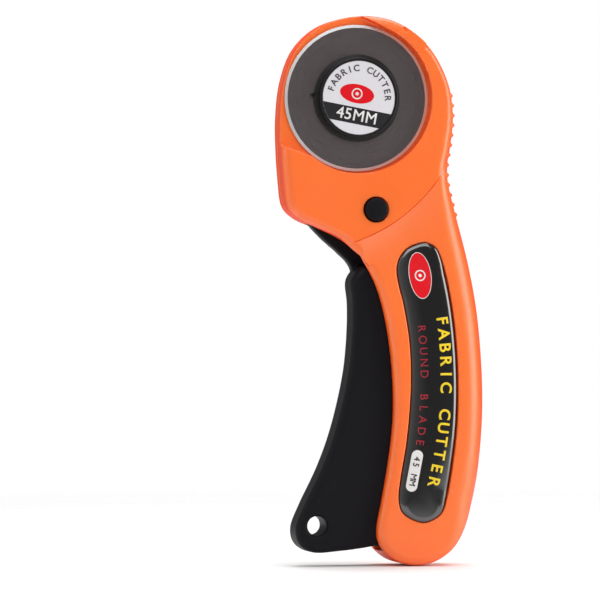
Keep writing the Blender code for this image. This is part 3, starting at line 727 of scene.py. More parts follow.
def moulded_plastic(name, colour, roughness, scale, depth, worn, coat=0.0, smudge=0.08, gloss=0.5,
                    depth_of_light=0.0, painted_rim_shade=None, coat_roughness=0.08):
    """Moulded plastic with grain, soft smudges and lightly rubbed edges; given a rim colour, it also gets painted
    shade, a redder colour on faces turned away from the camera.
    """
    if name in bpy.data.materials:
        return bpy.data.materials[name]
    made, tree, shader = start_material(name)
    shader.inputs["Specular IOR Level"].default_value = gloss
    grain = put_group(tree, grain_group(), Scale=scale, Ripple=0.35)
    wear = put_group(tree, wear_group(), Amount=worn)
    toned = mix_colour(tree, grain.outputs["Tone"], scaled(colour, 0.95), scaled(colour, 1.04))
    wear_and_painted_shade = mix_colour(tree, wear.outputs["Mask"], toned, tuple(min(1, c * 1.1 + 0.02) for c in colour))
    shader.inputs["Coat Weight"].default_value = coat
    # Painted shade: faces turned away from the camera take the redder rim colour, standing in for the deeper shade
    # along the edges, and lose most of their specular and coat.
    if painted_rim_shade:
        facing = node(tree, "ShaderNodeLayerWeight").outputs["Facing"]
        grazing_shade_mask = spread(tree, facing, 0.35, 0.85, 0.0, 1.0)
        wear_and_painted_shade = mix_colour(tree, grazing_shade_mask, wear_and_painted_shade, painted_rim_shade)
        tree.links.new(spread(tree, grazing_shade_mask, 0.0, 1.0, gloss, 0.08), shader.inputs["Specular IOR Level"])
        tree.links.new(spread(tree, grazing_shade_mask, 0.0, 1.0, coat, 0.0), shader.inputs["Coat Weight"])
    tree.links.new(wear_and_painted_shade, shader.inputs["Base Color"])
    tree.links.new(
        spread(tree, grain.outputs["Smudge"], 0.0, 1.0, roughness - smudge / 2, roughness + smudge / 2),
        shader.inputs["Roughness"],
    )
    shader.inputs["Subsurface Weight"].default_value = depth_of_light
    shader.inputs["Subsurface Radius"].default_value = (1.0, 0.2, 0.05)
    shader.inputs["Subsurface Scale"].default_value = 3 * MM
    shader.inputs["Coat Roughness"].default_value = coat_roughness
    bump(tree, shader, grain.outputs["Height"], 0.35, depth)
    return made


def steel(name, centre, colour, roughness, rings, rays, depth=0.00001):
    """Turned or ground steel, with marks in rings about the centre."""
    if name in bpy.data.materials:
        return bpy.data.materials[name]
    made, tree, shader = start_material(name)
    marks = put_group(
        tree, turned_marks_group(), Centre_X=centre[0], Centre_Z=centre[1], Rings=rings, Rays=rays,
    )
    tint = mix_colour(tree, marks.outputs["Cloud"], scaled(colour, 0.85), scaled(colour, 1.15))
    tree.links.new(tint, shader.inputs["Base Color"])
    shader.inputs["Metallic"].default_value = 1.0
    tree.links.new(
        spread(tree, marks.outputs["Height"], 0.2, 0.8, roughness * 0.8, roughness * 1.2),
        shader.inputs["Roughness"],
    )
    bump(tree, shader, marks.outputs["Height"], 0.4, depth)
    return made


def ink(name, colour, roughness=0.22):
    """Printed ink with a slightly uneven film."""
    if name in bpy.data.materials:
        return bpy.data.materials[name]
    made, tree, shader = start_material(name)
    grain = put_group(tree, grain_group(), Scale=9000.0, Ripple=0.1)
    toned = mix_colour(tree, grain.outputs["Tone"], scaled(colour, 0.93), scaled(colour, 1.05))
    tree.links.new(toned, shader.inputs["Base Color"])
    tree.links.new(
        spread(tree, grain.outputs["Smudge"], 0.0, 1.0, roughness * 0.8, roughness * 1.2),
        shader.inputs["Roughness"],
    )
    shader.inputs["Coat Weight"].default_value = 0.4
    shader.inputs["Coat Roughness"].default_value = 0.1
    bump(tree, shader, grain.outputs["Height"], 0.1, 0.000005)
    return made


def casing_plastic():
    settings = bpy.context.scene.cutter.casing
    # The casing gets painted shade: its rim shade colour goes on where the face turns away from the camera.
    return moulded_plastic(
        "orange_plastic", settings.colour, settings.roughness, 5200.0, 0.000012, 0.3, coat=0.3,
        depth_of_light=0.35, painted_rim_shade=tuple(settings.painted_rim_shade), coat_roughness=0.24,
    )


def matt_plastic():
    settings = bpy.context.scene.cutter.trigger
    return moulded_plastic(
        "matt_black_plastic", settings.colour, 0.52, 3600.0, 0.00004, 0.15, smudge=0.05, gloss=0.14,
    )


def gloss_plastic():
    settings = bpy.context.scene.cutter.inlay
    return moulded_plastic(
        "gloss_black_plastic", settings.colour, 0.12, 2500.0, 0.000002, 0.0, coat=1.0, smudge=0.06, gloss=1.0,
    )


def hardware_steel():
    return steel("zinc_plate", SPINDLE, (0.58, 0.585, 0.6), 0.24, 5000.0, 3.0)


# Casing

def thumb_rounding(z):
    """The rounding of the thumb side grows from the top of the head down to the handle."""
    full = bpy.context.scene.cutter.casing.thumb_radius
    return 2.2 * MM + (full - 2.2 * MM) * share(z, 62 * MM, 20 * MM)


def front_rounding(x, z):
    """Broad on the thumb side, small round the rest of the head and the handle."""
    middle = nearest((x, z), metres(CASING_SPINE))[0]
    thumb_side = share(x, middle + 2 * MM, middle + 12 * MM) * share(z, -80 * MM, -66 * MM)
    return 2.8 * MM + thumb_side * (thumb_rounding(z) - 2.8 * MM)


def rear_rounding(x, z):
    return 2.6 * MM


def slope(x, z, head_face):
    """Height of the casing's face above the middle plane: flat on the head, then up to the handle."""
    out = math.dist((x, z), CREASE_CENTRE) - CREASE_RADIUS
    climb = -HANDLE_FRONT - head_face
    if out <= 0:
        return head_face
    return head_face + climb * (1 - (1 - min(1.0, out / (24 * MM))) ** 2.2)


def thumb_ridges(shell):
    """Raise a row of small ridges across the edge where the thumb pushes."""
    settings = bpy.context.scene.cutter.casing
    top = 60.0 * MM
    bottom = top - (settings.ridges - 1) * settings.ridge_pitch
    half = settings.ridge_pitch / 2
    moves = []
    for vert, normal in zip(shell.data.vertices, shell.data.vertex_normals):
        x, y, z = vert.co
        if x > 15 * MM and bottom - half < z < top + half:
            outward = share(normal.vector.x, 0.72, 0.93)
            wave = max(0.0, math.cos(2 * math.pi * (top - z) / settings.ridge_pitch))
            moves.append((vert, settings.ridge_height * outward * wave))
    for vert, rise in moves:
        vert.co.x += rise


def true_face(shell):
    """Put the front face back on its exact height around the crease, clear of the button's hole."""
    moves = []
    for vert, normal in zip(shell.data.vertices, shell.data.vertex_normals):
        x, y, z = vert.co
        out = math.dist((x, z), CREASE_CENTRE) - CREASE_RADIUS
        near = -7 * MM < x < 13.5 * MM and -16 * MM < out < 8 * MM
        if near and normal.vector.y < -0.4 and math.dist((x, z), BUTTON) > 4.6 * MM:
            face = -slope(x, z, -HEAD_FRONT)
            if abs(y - face) < 1.2 * MM:
                moves.append((vert, face))
    for vert, face in moves:
        vert.co.y = face


def casing_blank(name, side):
    """Half of the casing, solid, from the parting plane out to the face: side is -1 at the front."""
    parting, head_face = (PARTING_FRONT, -HEAD_FRONT) if side < 0 else (PARTING_REAR, HEAD_REAR)
    rounding = front_rounding if side < 0 else rear_rounding
    spine = metres(CASING_SPINE)
    outline = smooth(metres(CASING_OUTLINE), 12)
    rings = [[(x, parting, z) for x, z in outline]]
    for step in range(13):
        angle = math.pi / 2 * step / 12
        ring = []
        for x, z in outline:
            radius = rounding(x, z)
            px, pz = moved_in((x, z), spine, radius * (1 - math.cos(angle)))
            ring.append((px, side * (slope(px, pz, head_face) - radius * (1 - math.sin(angle))), pz))
        rings.append(ring)
    for step in range(1, 15):
        ring = []
        for x, y, z in rings[13]:
            to_x, to_z = nearest((x, z), spine)
            part = 0.995 * step / 14
            px, pz = x + (to_x - x) * part, z + (to_z - z) * part
            ring.append((px, side * slope(px, pz, head_face), pz))
        rings.append(ring)
    return loft(name, rings)


def cut_common(shell, side):
    """Cavities, recess and holes that both halves have."""
    inside = PARTING_FRONT + 1 * MM if side < 0 else PARTING_REAR - 1 * MM
    outside = side * 20 * MM
    combine(shell, slab("cavity", metres(HEAD_CAVITY), inside, GUARD_INNER if side < 0 else HEAD_REAR_INNER))
    combine(shell, slab("slot", metres(SLOT), inside, side * SLOT_FACE))
    floor = side * (-HANDLE_FRONT - INLAY_DEPTH)
    combine(shell, slab("recess", smooth(metres(INLAY_OUTLINE), 8), outside, floor))
    path = stadium(SPINDLE, about_pivot(SPINDLE, LEVER_TRAVEL), 5.4 * MM)
    combine(shell, slab("hub_slot", path, inside, side * 9 * MM))
    wedge = [(3 * MM, 20 * MM), (-SLOT_FACE, 10.5 * MM), (3 * MM, 10.5 * MM)]
    if side < 0:
        combine(shell, loft("neck_taper", [[(x * MM, y, z) for y, z in wedge] for x in (-20, 0)]))
    combine(shell, cylinder("button_hole", BUTTON, 3.95 * MM, inside, outside))
    pin_end = -1.8 * MM if side < 0 else 6.8 * MM
    combine(shell, cylinder("pin_hole", PIVOT, 1.65 * MM, inside, pin_end))
    return shell


def pocket_outline():
    """Round the blade, and off to the upper left in a straight line from each end of the wall."""
    (low_end, low_way), (high_end, high_way) = POCKET_ENDS
    outline = arc(SPINDLE, POCKET_RADIUS, math.radians(low_end), math.radians(high_end), 144)
    for (x, z), way in ((outline[-1], high_way), (outline[0], low_way)):
        lean = math.radians(way)
        outline.append((x + 45 * MM * math.cos(lean), z + 45 * MM * math.sin(lean)))
    return outline


def crease_line():
    """A fine groove along the arc where the head's flat face meets the handle's slope."""
    face = -HEAD_FRONT
    return turned("crease", [
        (CREASE_RADIUS - 0.2 * MM, -face - 0.1 * MM), (CREASE_RADIUS, -face + 0.3 * MM),
        (CREASE_RADIUS + 0.25 * MM, -face - 0.2 * MM),
    ], CREASE_CENTRE, 256)


class CUTTER_OT_front_shell(Operator):
    """Front half of the casing, with the blade pocket and the crease under the head"""

    bl_idname = "cutter.front_shell"
    bl_label = "Front shell"

    def execute(self, context):
        shell = casing_blank("casing_front", -1)
        combine(shell, slab("pocket", pocket_outline(), GUARD_FRONT, -20 * MM))
        cut_common(shell, -1)
        for name in SCREWS:
            low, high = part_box(name)
            centre = middle_of(name)
            seat = GUARD_INNER if low.y > -2 * MM else -SLOT_FACE
            post = cylinder("post", centre, POST_RADIUS, seat - 0.3 * MM, PARTING_FRONT - 0.15 * MM, 32)
            combine(shell, post, "UNION")
            drill = cylinder("drill", centre, SCREW_RADIUS, PARTING_FRONT + 1 * MM, low.y - 0.4 * MM, 24)
            combine(shell, drill)
        soften(shell, 0.32 * MM)
        true_face(shell)
        thumb_ridges(shell)
        thin_out(shell, 0.4)
        combine(shell, crease_line())
        shell.data.set_sharp_from_angle(angle=math.radians(50))
        dress(shell, casing_plastic(), "casing", "casing_orange", "front_shell")
        return {"FINISHED"}


class CUTTER_OT_rear_shell(Operator):
    """Rear half of the casing, with the counterbored screw holes"""

    bl_idname = "cutter.rear_shell"
    bl_label = "Rear shell"

    def execute(self, context):
        shell = casing_blank("casing_rear", 1)
        cut_common(shell, 1)
        for name in SCREWS:
            low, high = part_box(name)
            centre = middle_of(name)
            inner = HEAD_REAR_INNER if high.y < HEAD_REAR + 0.1 * MM else SLOT_FACE
            post = cylinder("post", centre, POST_RADIUS, inner + 0.3 * MM, PARTING_REAR + 0.15 * MM, 32)
            combine(shell, post, "UNION")
            seat = high.y - SCREW_HEAD_HEIGHT
            inside, outside = PARTING_REAR - 1 * MM, 14 * MM
            drill = turned("drill", [
                (0, inside), (SCREW_RADIUS, inside), (SCREW_RADIUS, seat),
                (HEAD_HOLE_RADIUS, seat), (HEAD_HOLE_RADIUS, outside), (0, outside),
            ], centre, 48)
            combine(shell, drill)
        soften(shell, 0.34 * MM)
        thumb_ridges(shell)
        thin_out(shell, 0.4)
        dress(shell, casing_plastic(), "casing", "casing_orange", "rear_shell")
        return {"FINISHED"}


# Handle panels

def drape(obj, side):
    """Bend a flat piece on the handle down the slope to the head."""
    head_face = -HEAD_FRONT if side < 0 else HEAD_REAR
    for vert in obj.data.vertices:
        fall = -HANDLE_FRONT - slope(vert.co.x, vert.co.z, head_face)
        above_floor = side * vert.co.y - (-HANDLE_FRONT - INLAY_DEPTH + 0.3 * MM)
        if above_floor > 0.01 * MM:
            vert.co.y -= side * fall * min(1.0, above_floor / (1.2 * MM))
    return obj


def panel(name, side):
    """Domed glossy panel in the recess of the handle."""
    spine = metres(INLAY_SPINE)
    outline = [moved_in(point, spine, 0.25 * MM) for point in smooth(metres(INLAY_OUTLINE), 10)]
    floor = side * (-HANDLE_FRONT - INLAY_DEPTH + 0.3 * MM)

    def dome(x, z):
        """Deep down both long sides, and shallow round both ends."""
        along = min(share(z, 13 * MM, 5 * MM), share(z, -70 * MM, -61 * MM))
        return (1.4 + 3.6 * along) * MM, (0.6 + 0.8 * along) * MM

    made = slab(name, outline, floor, side * (-HANDLE_FRONT + 0.3 * MM), dome, spine, steps=16)
    return drape(made, side)


def letters(name, glyphs, depth, bold):
    """One mesh from letters, each given as (character, size, place, turn) with place (x, z)."""
    bm = bmesh.new()
    for character, size, (x, z), turn in glyphs:
        curve = bpy.data.curves.new("glyph", "FONT")
        curve.body = character
        curve.size = size
        curve.align_x = "CENTER"
        curve.align_y = "CENTER"
        curve.extrude = depth / 2
        curve.bevel_depth = bold
        curve.bevel_resolution = 0
        curve.resolution_u = 4
        glyph = add("glyph", curve)
        bpy.context.view_layer.update()
        mesh = bpy.data.meshes.new_from_object(glyph.evaluated_get(bpy.context.evaluated_depsgraph_get()))
        upright = Matrix.Rotation(math.pi / 2, 4, "X")
        lean = Matrix.Rotation(-turn, 4, "Y")
        mesh.transform(Matrix.Translation((x, 0, z)) @ lean @ upright)
        bm.from_mesh(mesh)
        bpy.data.objects.remove(glyph)
        bpy.data.meshes.remove(mesh)
    mesh = bpy.data.meshes.new(name)
    bm.to_mesh(mesh)
    bm.free()
    return add(name, mesh)


def patch(name, outline, centre, film):
    """A thin printed patch with rings of points inside it, so that it can bend with the face under it."""
    parts = [0.04 + 0.96 * step / 10 for step in range(11)]
    rings = []
    for part, y in [(part, film / 2) for part in parts] + [(part, -film / 2) for part in reversed(parts)]:
        rings.append([
            (centre[0] + (x - centre[0]) * part, y, centre[1] + (z - centre[1]) * part) for x, z in outline
        ])
    return loft(name, rings)


def surface_of(obj):
    """What lay_on reads to find the face of this object."""
    mesh = obj.data
    places = [vert.co for vert in mesh.vertices]
    return BVHTree.FromPolygons(places, [face.vertices for face in mesh.polygons])


def lay_on(obj, surface, lift):
    """Put a flat mesh, made about the plane y=0, on the front of a surface."""
    bm = bmesh.new()
    bm.from_mesh(obj.data)
    for _ in range(2):
        long_edges = [edge for edge in bm.edges if edge.calc_length() > 0.7 * MM]
        bmesh.ops.subdivide_edges(bm, edges=long_edges, cuts=1)
        bmesh.ops.triangulate(bm, faces=bm.faces)
    for vert in bm.verts:
        found = surface.ray_cast(Vector((vert.co.x, -30 * MM, vert.co.z)), Vector((0, 1, 0)))[0]
        vert.co.y += found.y - lift
    bm.to_mesh(obj.data)
    bm.free()
    return obj


def words_down(words, start, end, path, size, turn_extra=0.0):
    """Glyphs spread from height start down to height end along path(z), which gives x."""
    glyphs = []
    for index, character in enumerate(words):
        z = start + (end - start) * index / (len(words) - 1)
        step = 0.5 * MM
        lean = math.atan2(path(z - step) - path(z + step), 2 * step)
        if character != " ":
            glyphs.append((character, size, (path(z), z), -math.pi / 2 + lean + turn_extra))
    return glyphs


def arc_x(centre_x, centre_z, radius):
    return lambda z: centre_x + math.sqrt(radius ** 2 - (z - centre_z) ** 2)


class CUTTER_OT_panels(Operator):
    """Glossy panels of the handle, with the printing on the front one"""

    bl_idname = "cutter.panels"
    bl_label = "Handle panels"

    def execute(self, context):
        settings = context.scene.cutter.inlay
        rear = panel("panel_rear", 1)
        dress(rear, gloss_plastic(), "casing", "gloss_black", "rear_inlay")
        front = panel("panel_front", -1)
        surface = surface_of(front)
        dress(front, gloss_plastic(), "casing", "gloss_black", "front_inlay")
        self.rows_of_words(settings, surface)
        self.badge(settings, surface)
        self.size_pill(surface)
        return {"FINISHED"}

    def put(self, obj, surface, lift, material):
        lay_on(obj, surface, lift)
        dress(obj, material, "casing", "gloss_black")

    def rows_of_words(self, settings, surface):
        title_line = arc_x(-112.0 * MM, -27.0 * MM, 130.6 * MM)
        title = words_down(settings.title, -9.2 * MM, -58.5 * MM, title_line, 5.0 * MM)
        note_line = arc_x(-128.0 * MM, -27.0 * MM, 139.8 * MM)
        note = words_down(settings.note, -11.6 * MM, -46.5 * MM, note_line, 3.5 * MM)
        for name, glyphs, bold, colour in (
            ("title", title, 0.12 * MM, settings.title_colour), ("note", note, 0.0, settings.note_colour),
        ):
            made = letters(name + "_print", glyphs, PRINT_FILM, bold)
            self.put(made, surface, 0.06 * MM, ink(name + "_ink", colour))

    def badge(self, settings, surface):
        spot = (10.6 * MM, 4.6 * MM)
        tilt = math.radians(8)
        pale = ink("pale_ink", PALE_INK)
        rim = patch("badge_rim", ellipse(spot, 3.5 * MM, 7.2 * MM, tilt), spot, PRINT_FILM)
        self.put(rim, surface, 0.07 * MM, pale)
        face = patch("badge", ellipse(spot, 3.3 * MM, 7.0 * MM, tilt), spot, PRINT_FILM)
        self.put(face, surface, 0.12 * MM, ink("red_ink", settings.badge_colour))
        icon = round_blade_icon("badge_icon", spot, 1.7 * MM, PRINT_FILM)
        self.put(icon, surface, 0.16 * MM, pale)

    def size_pill(self, surface):
        low, high = (7.9 * MM, -59.8 * MM), (9.7 * MM, -50.6 * MM)
        middle = ((low[0] + high[0]) / 2, (low[1] + high[1]) / 2)
        pill = patch("size_pill", stadium(low, high, 1.75 * MM), middle, PRINT_FILM)
        self.put(pill, surface, 0.07 * MM, ink("pale_ink", PALE_INK))
        lean = math.atan2(high[0] - low[0], high[1] - low[1])
        glyphs = []
        words = "45 MM"
        for index, character in enumerate(words):
            part = (index + 0.5) / len(words)
            place = (high[0] + (low[0] - high[0]) * part, high[1] + (low[1] - high[1]) * part)
            if character != " ":
                glyphs.append((character, 2.6 * MM, place, -math.pi / 2 - lean))
        made = letters("size_print", glyphs, PRINT_FILM, 0.05 * MM)
        self.put(made, surface, 0.11 * MM, ink("dark_ink", DARK_INK))


def round_blade_icon(name, centre, radius, film):
    """A plain ring with a dot: a sign for a round blade."""
    ring = turned(name, [
        (radius, film / 2), (radius, -film / 2), (radius * 0.78, -film / 2), (radius * 0.78, film / 2),
    ], centre, 64)
    return combine(ring, cylinder("dot", centre, radius * 0.3, film / 2, -film / 2, 32), "UNION")


# Trigger

class CUTTER_OT_trigger(Operator):
    """Squeeze trigger, neck and blade carrier in one moulding"""

    bl_idname = "cutter.trigger"
    bl_label = "Trigger lever"

    def execute(self, context):
        settings = context.scene.cutter.trigger
        edge = settings.edge_radius
        lever = slab("trigger", smooth(metres(GRIP_OUTLINE), 8), GRIP_REAR, GRIP_FRONT,
                     lambda x, z: (edge, edge * 0.8), metres(GRIP_SPINE), round_back=True)
        plate = slab("plate", smooth(metres(PLATE_OUTLINE), 8), PLATE_REAR, PLATE_FRONT,
                     lambda x, z: (0.5 * MM, 0.5 * MM), metres([(-8, 60), (-10, 40), (0, 10)]), steps=4)
        combine(lever, plate, "UNION")
        combine(lever, cylinder("hub", SPINDLE, 5 * MM, HEAD_REAR + 0.4 * MM, GUARD_FRONT), "UNION")
        combine(lever, cylinder("bore", SPINDLE, 3.2 * MM, 12 * MM, -6 * MM))
        combine(lever, cylinder("pin_hole", PIVOT, 1.65 * MM, 8 * MM, -2 * MM))
        path = stadium(BUTTON, about_pivot(BUTTON, -LEVER_TRAVEL), 3.95 * MM)
        combine(lever, slab("button_slot", path, 8 * MM, -2 * MM))
        hole = settings.hole_radius
        countersink = 0.7 * MM
        combine(lever, turned("hang_hole", [
            (0, 12 * MM), (hole + countersink + 6 * MM, 12 * MM), (hole + countersink, GRIP_REAR),
            (hole, GRIP_REAR - countersink), (hole, GRIP_FRONT + countersink),
            (hole + countersink, GRIP_FRONT),
            (hole + countersink + 6 * MM, -12 * MM), (0, -12 * MM),
        ], HANG_HOLE, 96))
        soften(lever, 0.32 * MM)
        thin_out(lever, 0.45)
        dress(lever, matt_plastic(), "lever", "matt_black", "trigger_lever")
        return {"FINISHED"}


# Blade and spindle

class CUTTER_OT_blade(Operator):
    """Round blade with a honed rim and a bore with three lobes"""

    bl_idname = "cutter.blade"
    bl_label = "Blade"

    def execute(self, context):
        settings = context.scene.cutter.blade
        radius = settings.radius
        middle = (BLADE_FRONT + BLADE_BACK) / 2
        bore = 4.1 * MM
        tip = 0.012 * MM
        blade = turned("round_blade", [
            (bore, BLADE_BACK), (radius - settings.bevel, BLADE_BACK),
            (radius, middle + tip), (radius, middle - tip),
            (radius - settings.bevel, BLADE_FRONT), (bore, BLADE_FRONT),
        ], SPINDLE, 256, sharp=5)
        for lobe in range(3):
            angle = math.radians(90 + 120 * lobe)
            centre = (SPINDLE[0] + bore * math.cos(angle), SPINDLE[1] + bore * math.sin(angle))
            combine(blade, cylinder("lobe", centre, 1.2 * MM, 0, -6 * MM, 32), sharp=4)
        face = steel("ground_blade", SPINDLE, settings.colour, 0.3, 7000.0, 2.0, 0.0000005)
        dress(blade, face, "blade_set", "blade_steel", "blade")
        rim = steel("honed_steel", SPINDLE, (0.9, 0.9, 0.92), 0.42, 900.0, 260.0)
        blade.data.materials.append(rim)
        flat = radius - settings.bevel * 0.98
        for face in blade.data.polygons:
            centre = face.center
            away = math.dist((centre.x, centre.z), SPINDLE)
            face.material_index = 1 if away > flat and len(face.vertices) <= 4 else 0
        return {"FINISHED"}


class CUTTER_OT_cap(Operator):
    """Cap of the blade bolt with its printed disc"""

    bl_idname = "cutter.cap"
    bl_label = "Cap and label"

    def execute(self, context):
        settings = context.scene.cutter.cap
        low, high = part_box("bolt_cap")
        front, label_front = low.y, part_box("cap_label")[0].y
        foot = BLADE_FRONT - 0.3 * MM
        radius = settings.radius
        lip = settings.label_radius + 0.12 * MM
        crown = radius - 1.15 * MM
        profile = [(0, label_front + 0.5 * MM), (lip, label_front + 0.5 * MM), (lip, front + 0.25 * MM)]
        profile += round_corner((lip + 0.25 * MM, front + 0.25 * MM), 0.25 * MM, 180, 270)
        profile += round_corner((crown - 0.35 * MM, front + 0.35 * MM), 0.35 * MM, -90, 0)
        profile += [(crown + 0.1 * MM, foot - 1.5 * MM)]
        profile += round_corner((radius - 0.4 * MM, foot - 0.9 * MM), 0.4 * MM, -90, 0)
        hub = 3.8 * MM
        profile += [(radius, foot), (hub, foot), (hub, BLADE_BACK), (3.2 * MM, BLADE_BACK),
                    (3.2 * MM, foot - 1 * MM), (0, foot - 1 * MM)]
        cap = turned("cap", profile, SPINDLE, 192)
        reach = radius + 1.5 * MM
        at = math.radians(176)
        pointer = slab("pointer", [
            (SPINDLE[0] + reach * math.cos(at), SPINDLE[1] + reach * math.sin(at)),
            *arc(SPINDLE, radius - 0.5 * MM, at + 0.07, at - 0.07, 4),
        ], foot - 0.1 * MM, foot - 1.1 * MM)
        combine(cap, pointer, "UNION")
        dress(cap, moulded_plastic("cap_black_plastic", (0.004, 0.0036, 0.004), 0.4, 3800.0, 0.00001, 0.2, gloss=0.3),
              "blade_set", "gloss_black", "bolt_cap")
        rim = settings.label_radius
        disc = turned("label_disc", [
            (0, label_front + 0.35 * MM), (rim, label_front + 0.35 * MM), (rim, label_front + 0.1 * MM),
            (rim - 0.1 * MM, label_front), (0, label_front),
        ], SPINDLE, 192)
        dress(disc, ink("label_paper", (0.72, 0.70, 0.73), 0.3), "blade_set", "label_white", "cap_label")
        print_label(settings, label_front)
        return {"FINISHED"}


def on_label(x, z, tilt):
    """A point of the label's drawing, in metres from its centre, turned by the label's tilt."""
    return (
        SPINDLE[0] + x * math.cos(tilt) - z * math.sin(tilt),
        SPINDLE[1] + x * math.sin(tilt) + z * math.cos(tilt),
    )


def print_label(settings, face):
    """Words round the top, an oval patch, and a black band with the blade's size."""
    tilt = settings.tilt
    film = 0.03 * MM
    rim = settings.label_radius
    band_top, band_bottom = -3.1 * MM, -8.1 * MM
    right = [math.asin(band_bottom / rim), math.asin(band_top / rim)]
    outline = arc((0, 0), rim - 0.02 * MM, right[0], right[1], 12)
    outline += arc((0, 0), rim - 0.02 * MM, math.pi - right[1], math.pi - right[0], 12)
    band = slab("label_band", [on_label(x, z, tilt) for x, z in outline], film / 2, -film / 2)
    words = "FABRIC CUTTER"
    glyphs = []
    for index, character in enumerate(words):
        angle = math.radians(173 - 163 * index / (len(words) - 1))
        place = on_label(9.0 * MM * math.cos(angle), 9.0 * MM * math.sin(angle), tilt)
        if character != " ":
            glyphs.append((character, 2.8 * MM, place, angle - math.pi / 2 + tilt))
    arc_words = letters("label_words", glyphs, film, 0.06 * MM)
    oval = slab("label_oval", ellipse(on_label(-0.8 * MM, 1.1 * MM, tilt), 5.4 * MM, 2.9 * MM, tilt),
                film / 2, -film / 2)
    icon = round_blade_icon("label_icon", on_label(-0.8 * MM, 1.1 * MM, tilt), 1.7 * MM, film)
    glyphs = []
    for x, character in ((-4.9, "4"), (-2.4, "5"), (0.9, "M"), (4.9, "M")):
        glyphs.append((character, 4.9 * MM, on_label(x * MM, -5.6 * MM, tilt), tilt))
    size = letters("label_size", glyphs, film, 0.05 * MM)
    pale = ink("pale_ink", PALE_INK)
    dark = ink("dark_ink", DARK_INK)
    red = ink("red_ink", bpy.context.scene.cutter.inlay.badge_colour)
    words_ink = ink("label_ink", (0.07, 0.062, 0.075))
    layers = (
        (band, 0.03, dark), (arc_words, 0.03, words_ink), (oval, 0.03, red), (icon, 0.06, pale),
        (size, 0.06, pale),
    )
    for obj, lift, material in layers:
        for vert in obj.data.vertices:
            vert.co.y += face - lift * MM
        dress(obj, material, "blade_set", "label_white")


class CUTTER_OT_spindle(Operator):
    """Bolt, wave washer and finger nut behind the blade"""

    bl_idname = "cutter.spindle"
    bl_label = "Spindle"

    def execute(self, context):
        low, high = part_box("blade_bolt")
        shank = 3 * MM
        bolt = turned("bolt", [
            (0, high.y), (shank - 0.5 * MM, high.y), (shank, high.y - 0.5 * MM), (shank, low.y), (0, low.y),
        ], SPINDLE, 96)
        combine(bolt, slab("driver_slot", [
            (SPINDLE[0] - 4 * MM, SPINDLE[1] - 0.5 * MM), (SPINDLE[0] + 4 * MM, SPINDLE[1] - 0.5 * MM),
            (SPINDLE[0] + 4 * MM, SPINDLE[1] + 0.5 * MM), (SPINDLE[0] - 4 * MM, SPINDLE[1] + 0.5 * MM),
        ], high.y - 0.9 * MM, high.y + 1 * MM))
        dress(bolt, hardware_steel(), "blade_set", "plated_steel", "blade_bolt")
        low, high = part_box("wave_washer")
        washer = wave_washer(low.y, high.y)
        dress(washer, hardware_steel(), "blade_set", "plated_steel", "wave_washer")
        low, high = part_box("tension_nut")
        dress(finger_nut(low.y, high.y), matt_plastic(), "nut", "matt_black", "tension_nut")
        return {"FINISHED"}


def wave_washer(front, rear):
    """Ring of spring steel with three waves."""
    bm = bmesh.new()
    steps = 144
    sheet = 0.3 * MM
    rows = []
    for i in range(steps):
        angle = 2 * math.pi * i / steps
        y = (front + rear) / 2 + (rear - front - sheet) / 2 * math.cos(3 * angle)
        corners = []
        for radius, side in ((4, -1), (8, -1), (8, 1), (4, 1)):
            x = SPINDLE[0] + radius * MM * math.cos(angle)
            z = SPINDLE[1] + radius * MM * math.sin(angle)
            corners.append(bm.verts.new((x, y + side * sheet / 2, z)))
        rows.append(corners)
    for i in range(steps):
        here, there = rows[i], rows[(i + 1) % steps]
        for k in range(4):
            m = (k + 1) % 4
            bm.faces.new((here[k], here[m], there[m], there[k]))
    return finish_bmesh("wave_spring", bm)


def finger_nut(front, rear):
    """Round nut with scalloped sides and a raised ring round the bolt."""
    low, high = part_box("tension_nut")
    radius = (high.x - low.x) / 2
    outline = []
    for i in range(288):
        angle = 2 * math.pi * i / 288
        dip = max(0.0, math.cos(12 * angle)) ** 1.5
        reach = radius - 0.75 * MM * dip
        outline.append((SPINDLE[0] + reach * math.cos(angle), SPINDLE[1] + reach * math.sin(angle)))
    core = [(SPINDLE[0] - 0.1 * MM, SPINDLE[1]), (SPINDLE[0] + 0.1 * MM, SPINDLE[1])]
    nut = slab("finger_nut", outline, front, rear - 0.5 * MM, lambda x, z: (0.9 * MM, 0.9 * MM), core,
               round_back=False, steps=6)
    ring = turned("ring", [
        (4.2 * MM, front + 1 * MM), (6.6 * MM, front + 1 * MM), (6.6 * MM, rear - 0.2 * MM),
        (6.4 * MM, rear), (4.4 * MM, rear), (4.2 * MM, rear - 0.2 * MM),
    ], SPINDLE, 128)
    combine(nut, ring, "UNION")
    return combine(nut, cylinder("bore", SPINDLE, 3.2 * MM, front - 1 * MM, rear + 1 * MM, 96))


class CUTTER_OT_lock(Operator):
    """Lock button that slides through the head"""

    bl_idname = "cutter.lock"
    bl_label = "Lock button"

    def execute(self, context):
        low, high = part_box("lock_button")
        radius = (high.x - low.x) / 2
        waist = 2.2 * MM
        front, rear = low.y, high.y
        crown = 0.45 * MM
        profile = [(0, rear), (radius - 0.5 * MM, rear), (radius, rear - 0.5 * MM), (radius, HEAD_REAR_INNER),
                   (waist, HEAD_REAR_INNER), (waist, GUARD_INNER - 0.6 * MM),
                    (radius, GUARD_INNER - 0.6 * MM)]
        profile += round_corner((radius - 0.7 * MM, front + crown + 0.5 * MM), 0.7 * MM, 0, -75, 6)
        for step in range(1, 7):
            reach = 0.55 * MM if step == 5 else (radius - 0.55 * MM) * (1 - step / 6)
            rise = crown * (1 - (reach / radius) ** 2)
            dimple = 0.25 * MM if step == 6 else 0
            profile.append((reach, front + crown - rise + dimple))
        button = turned("cross_bolt", profile, BUTTON, 128)
        dress(button, matt_plastic(), "lock", "matt_black", "lock_button")
        return {"FINISHED"}


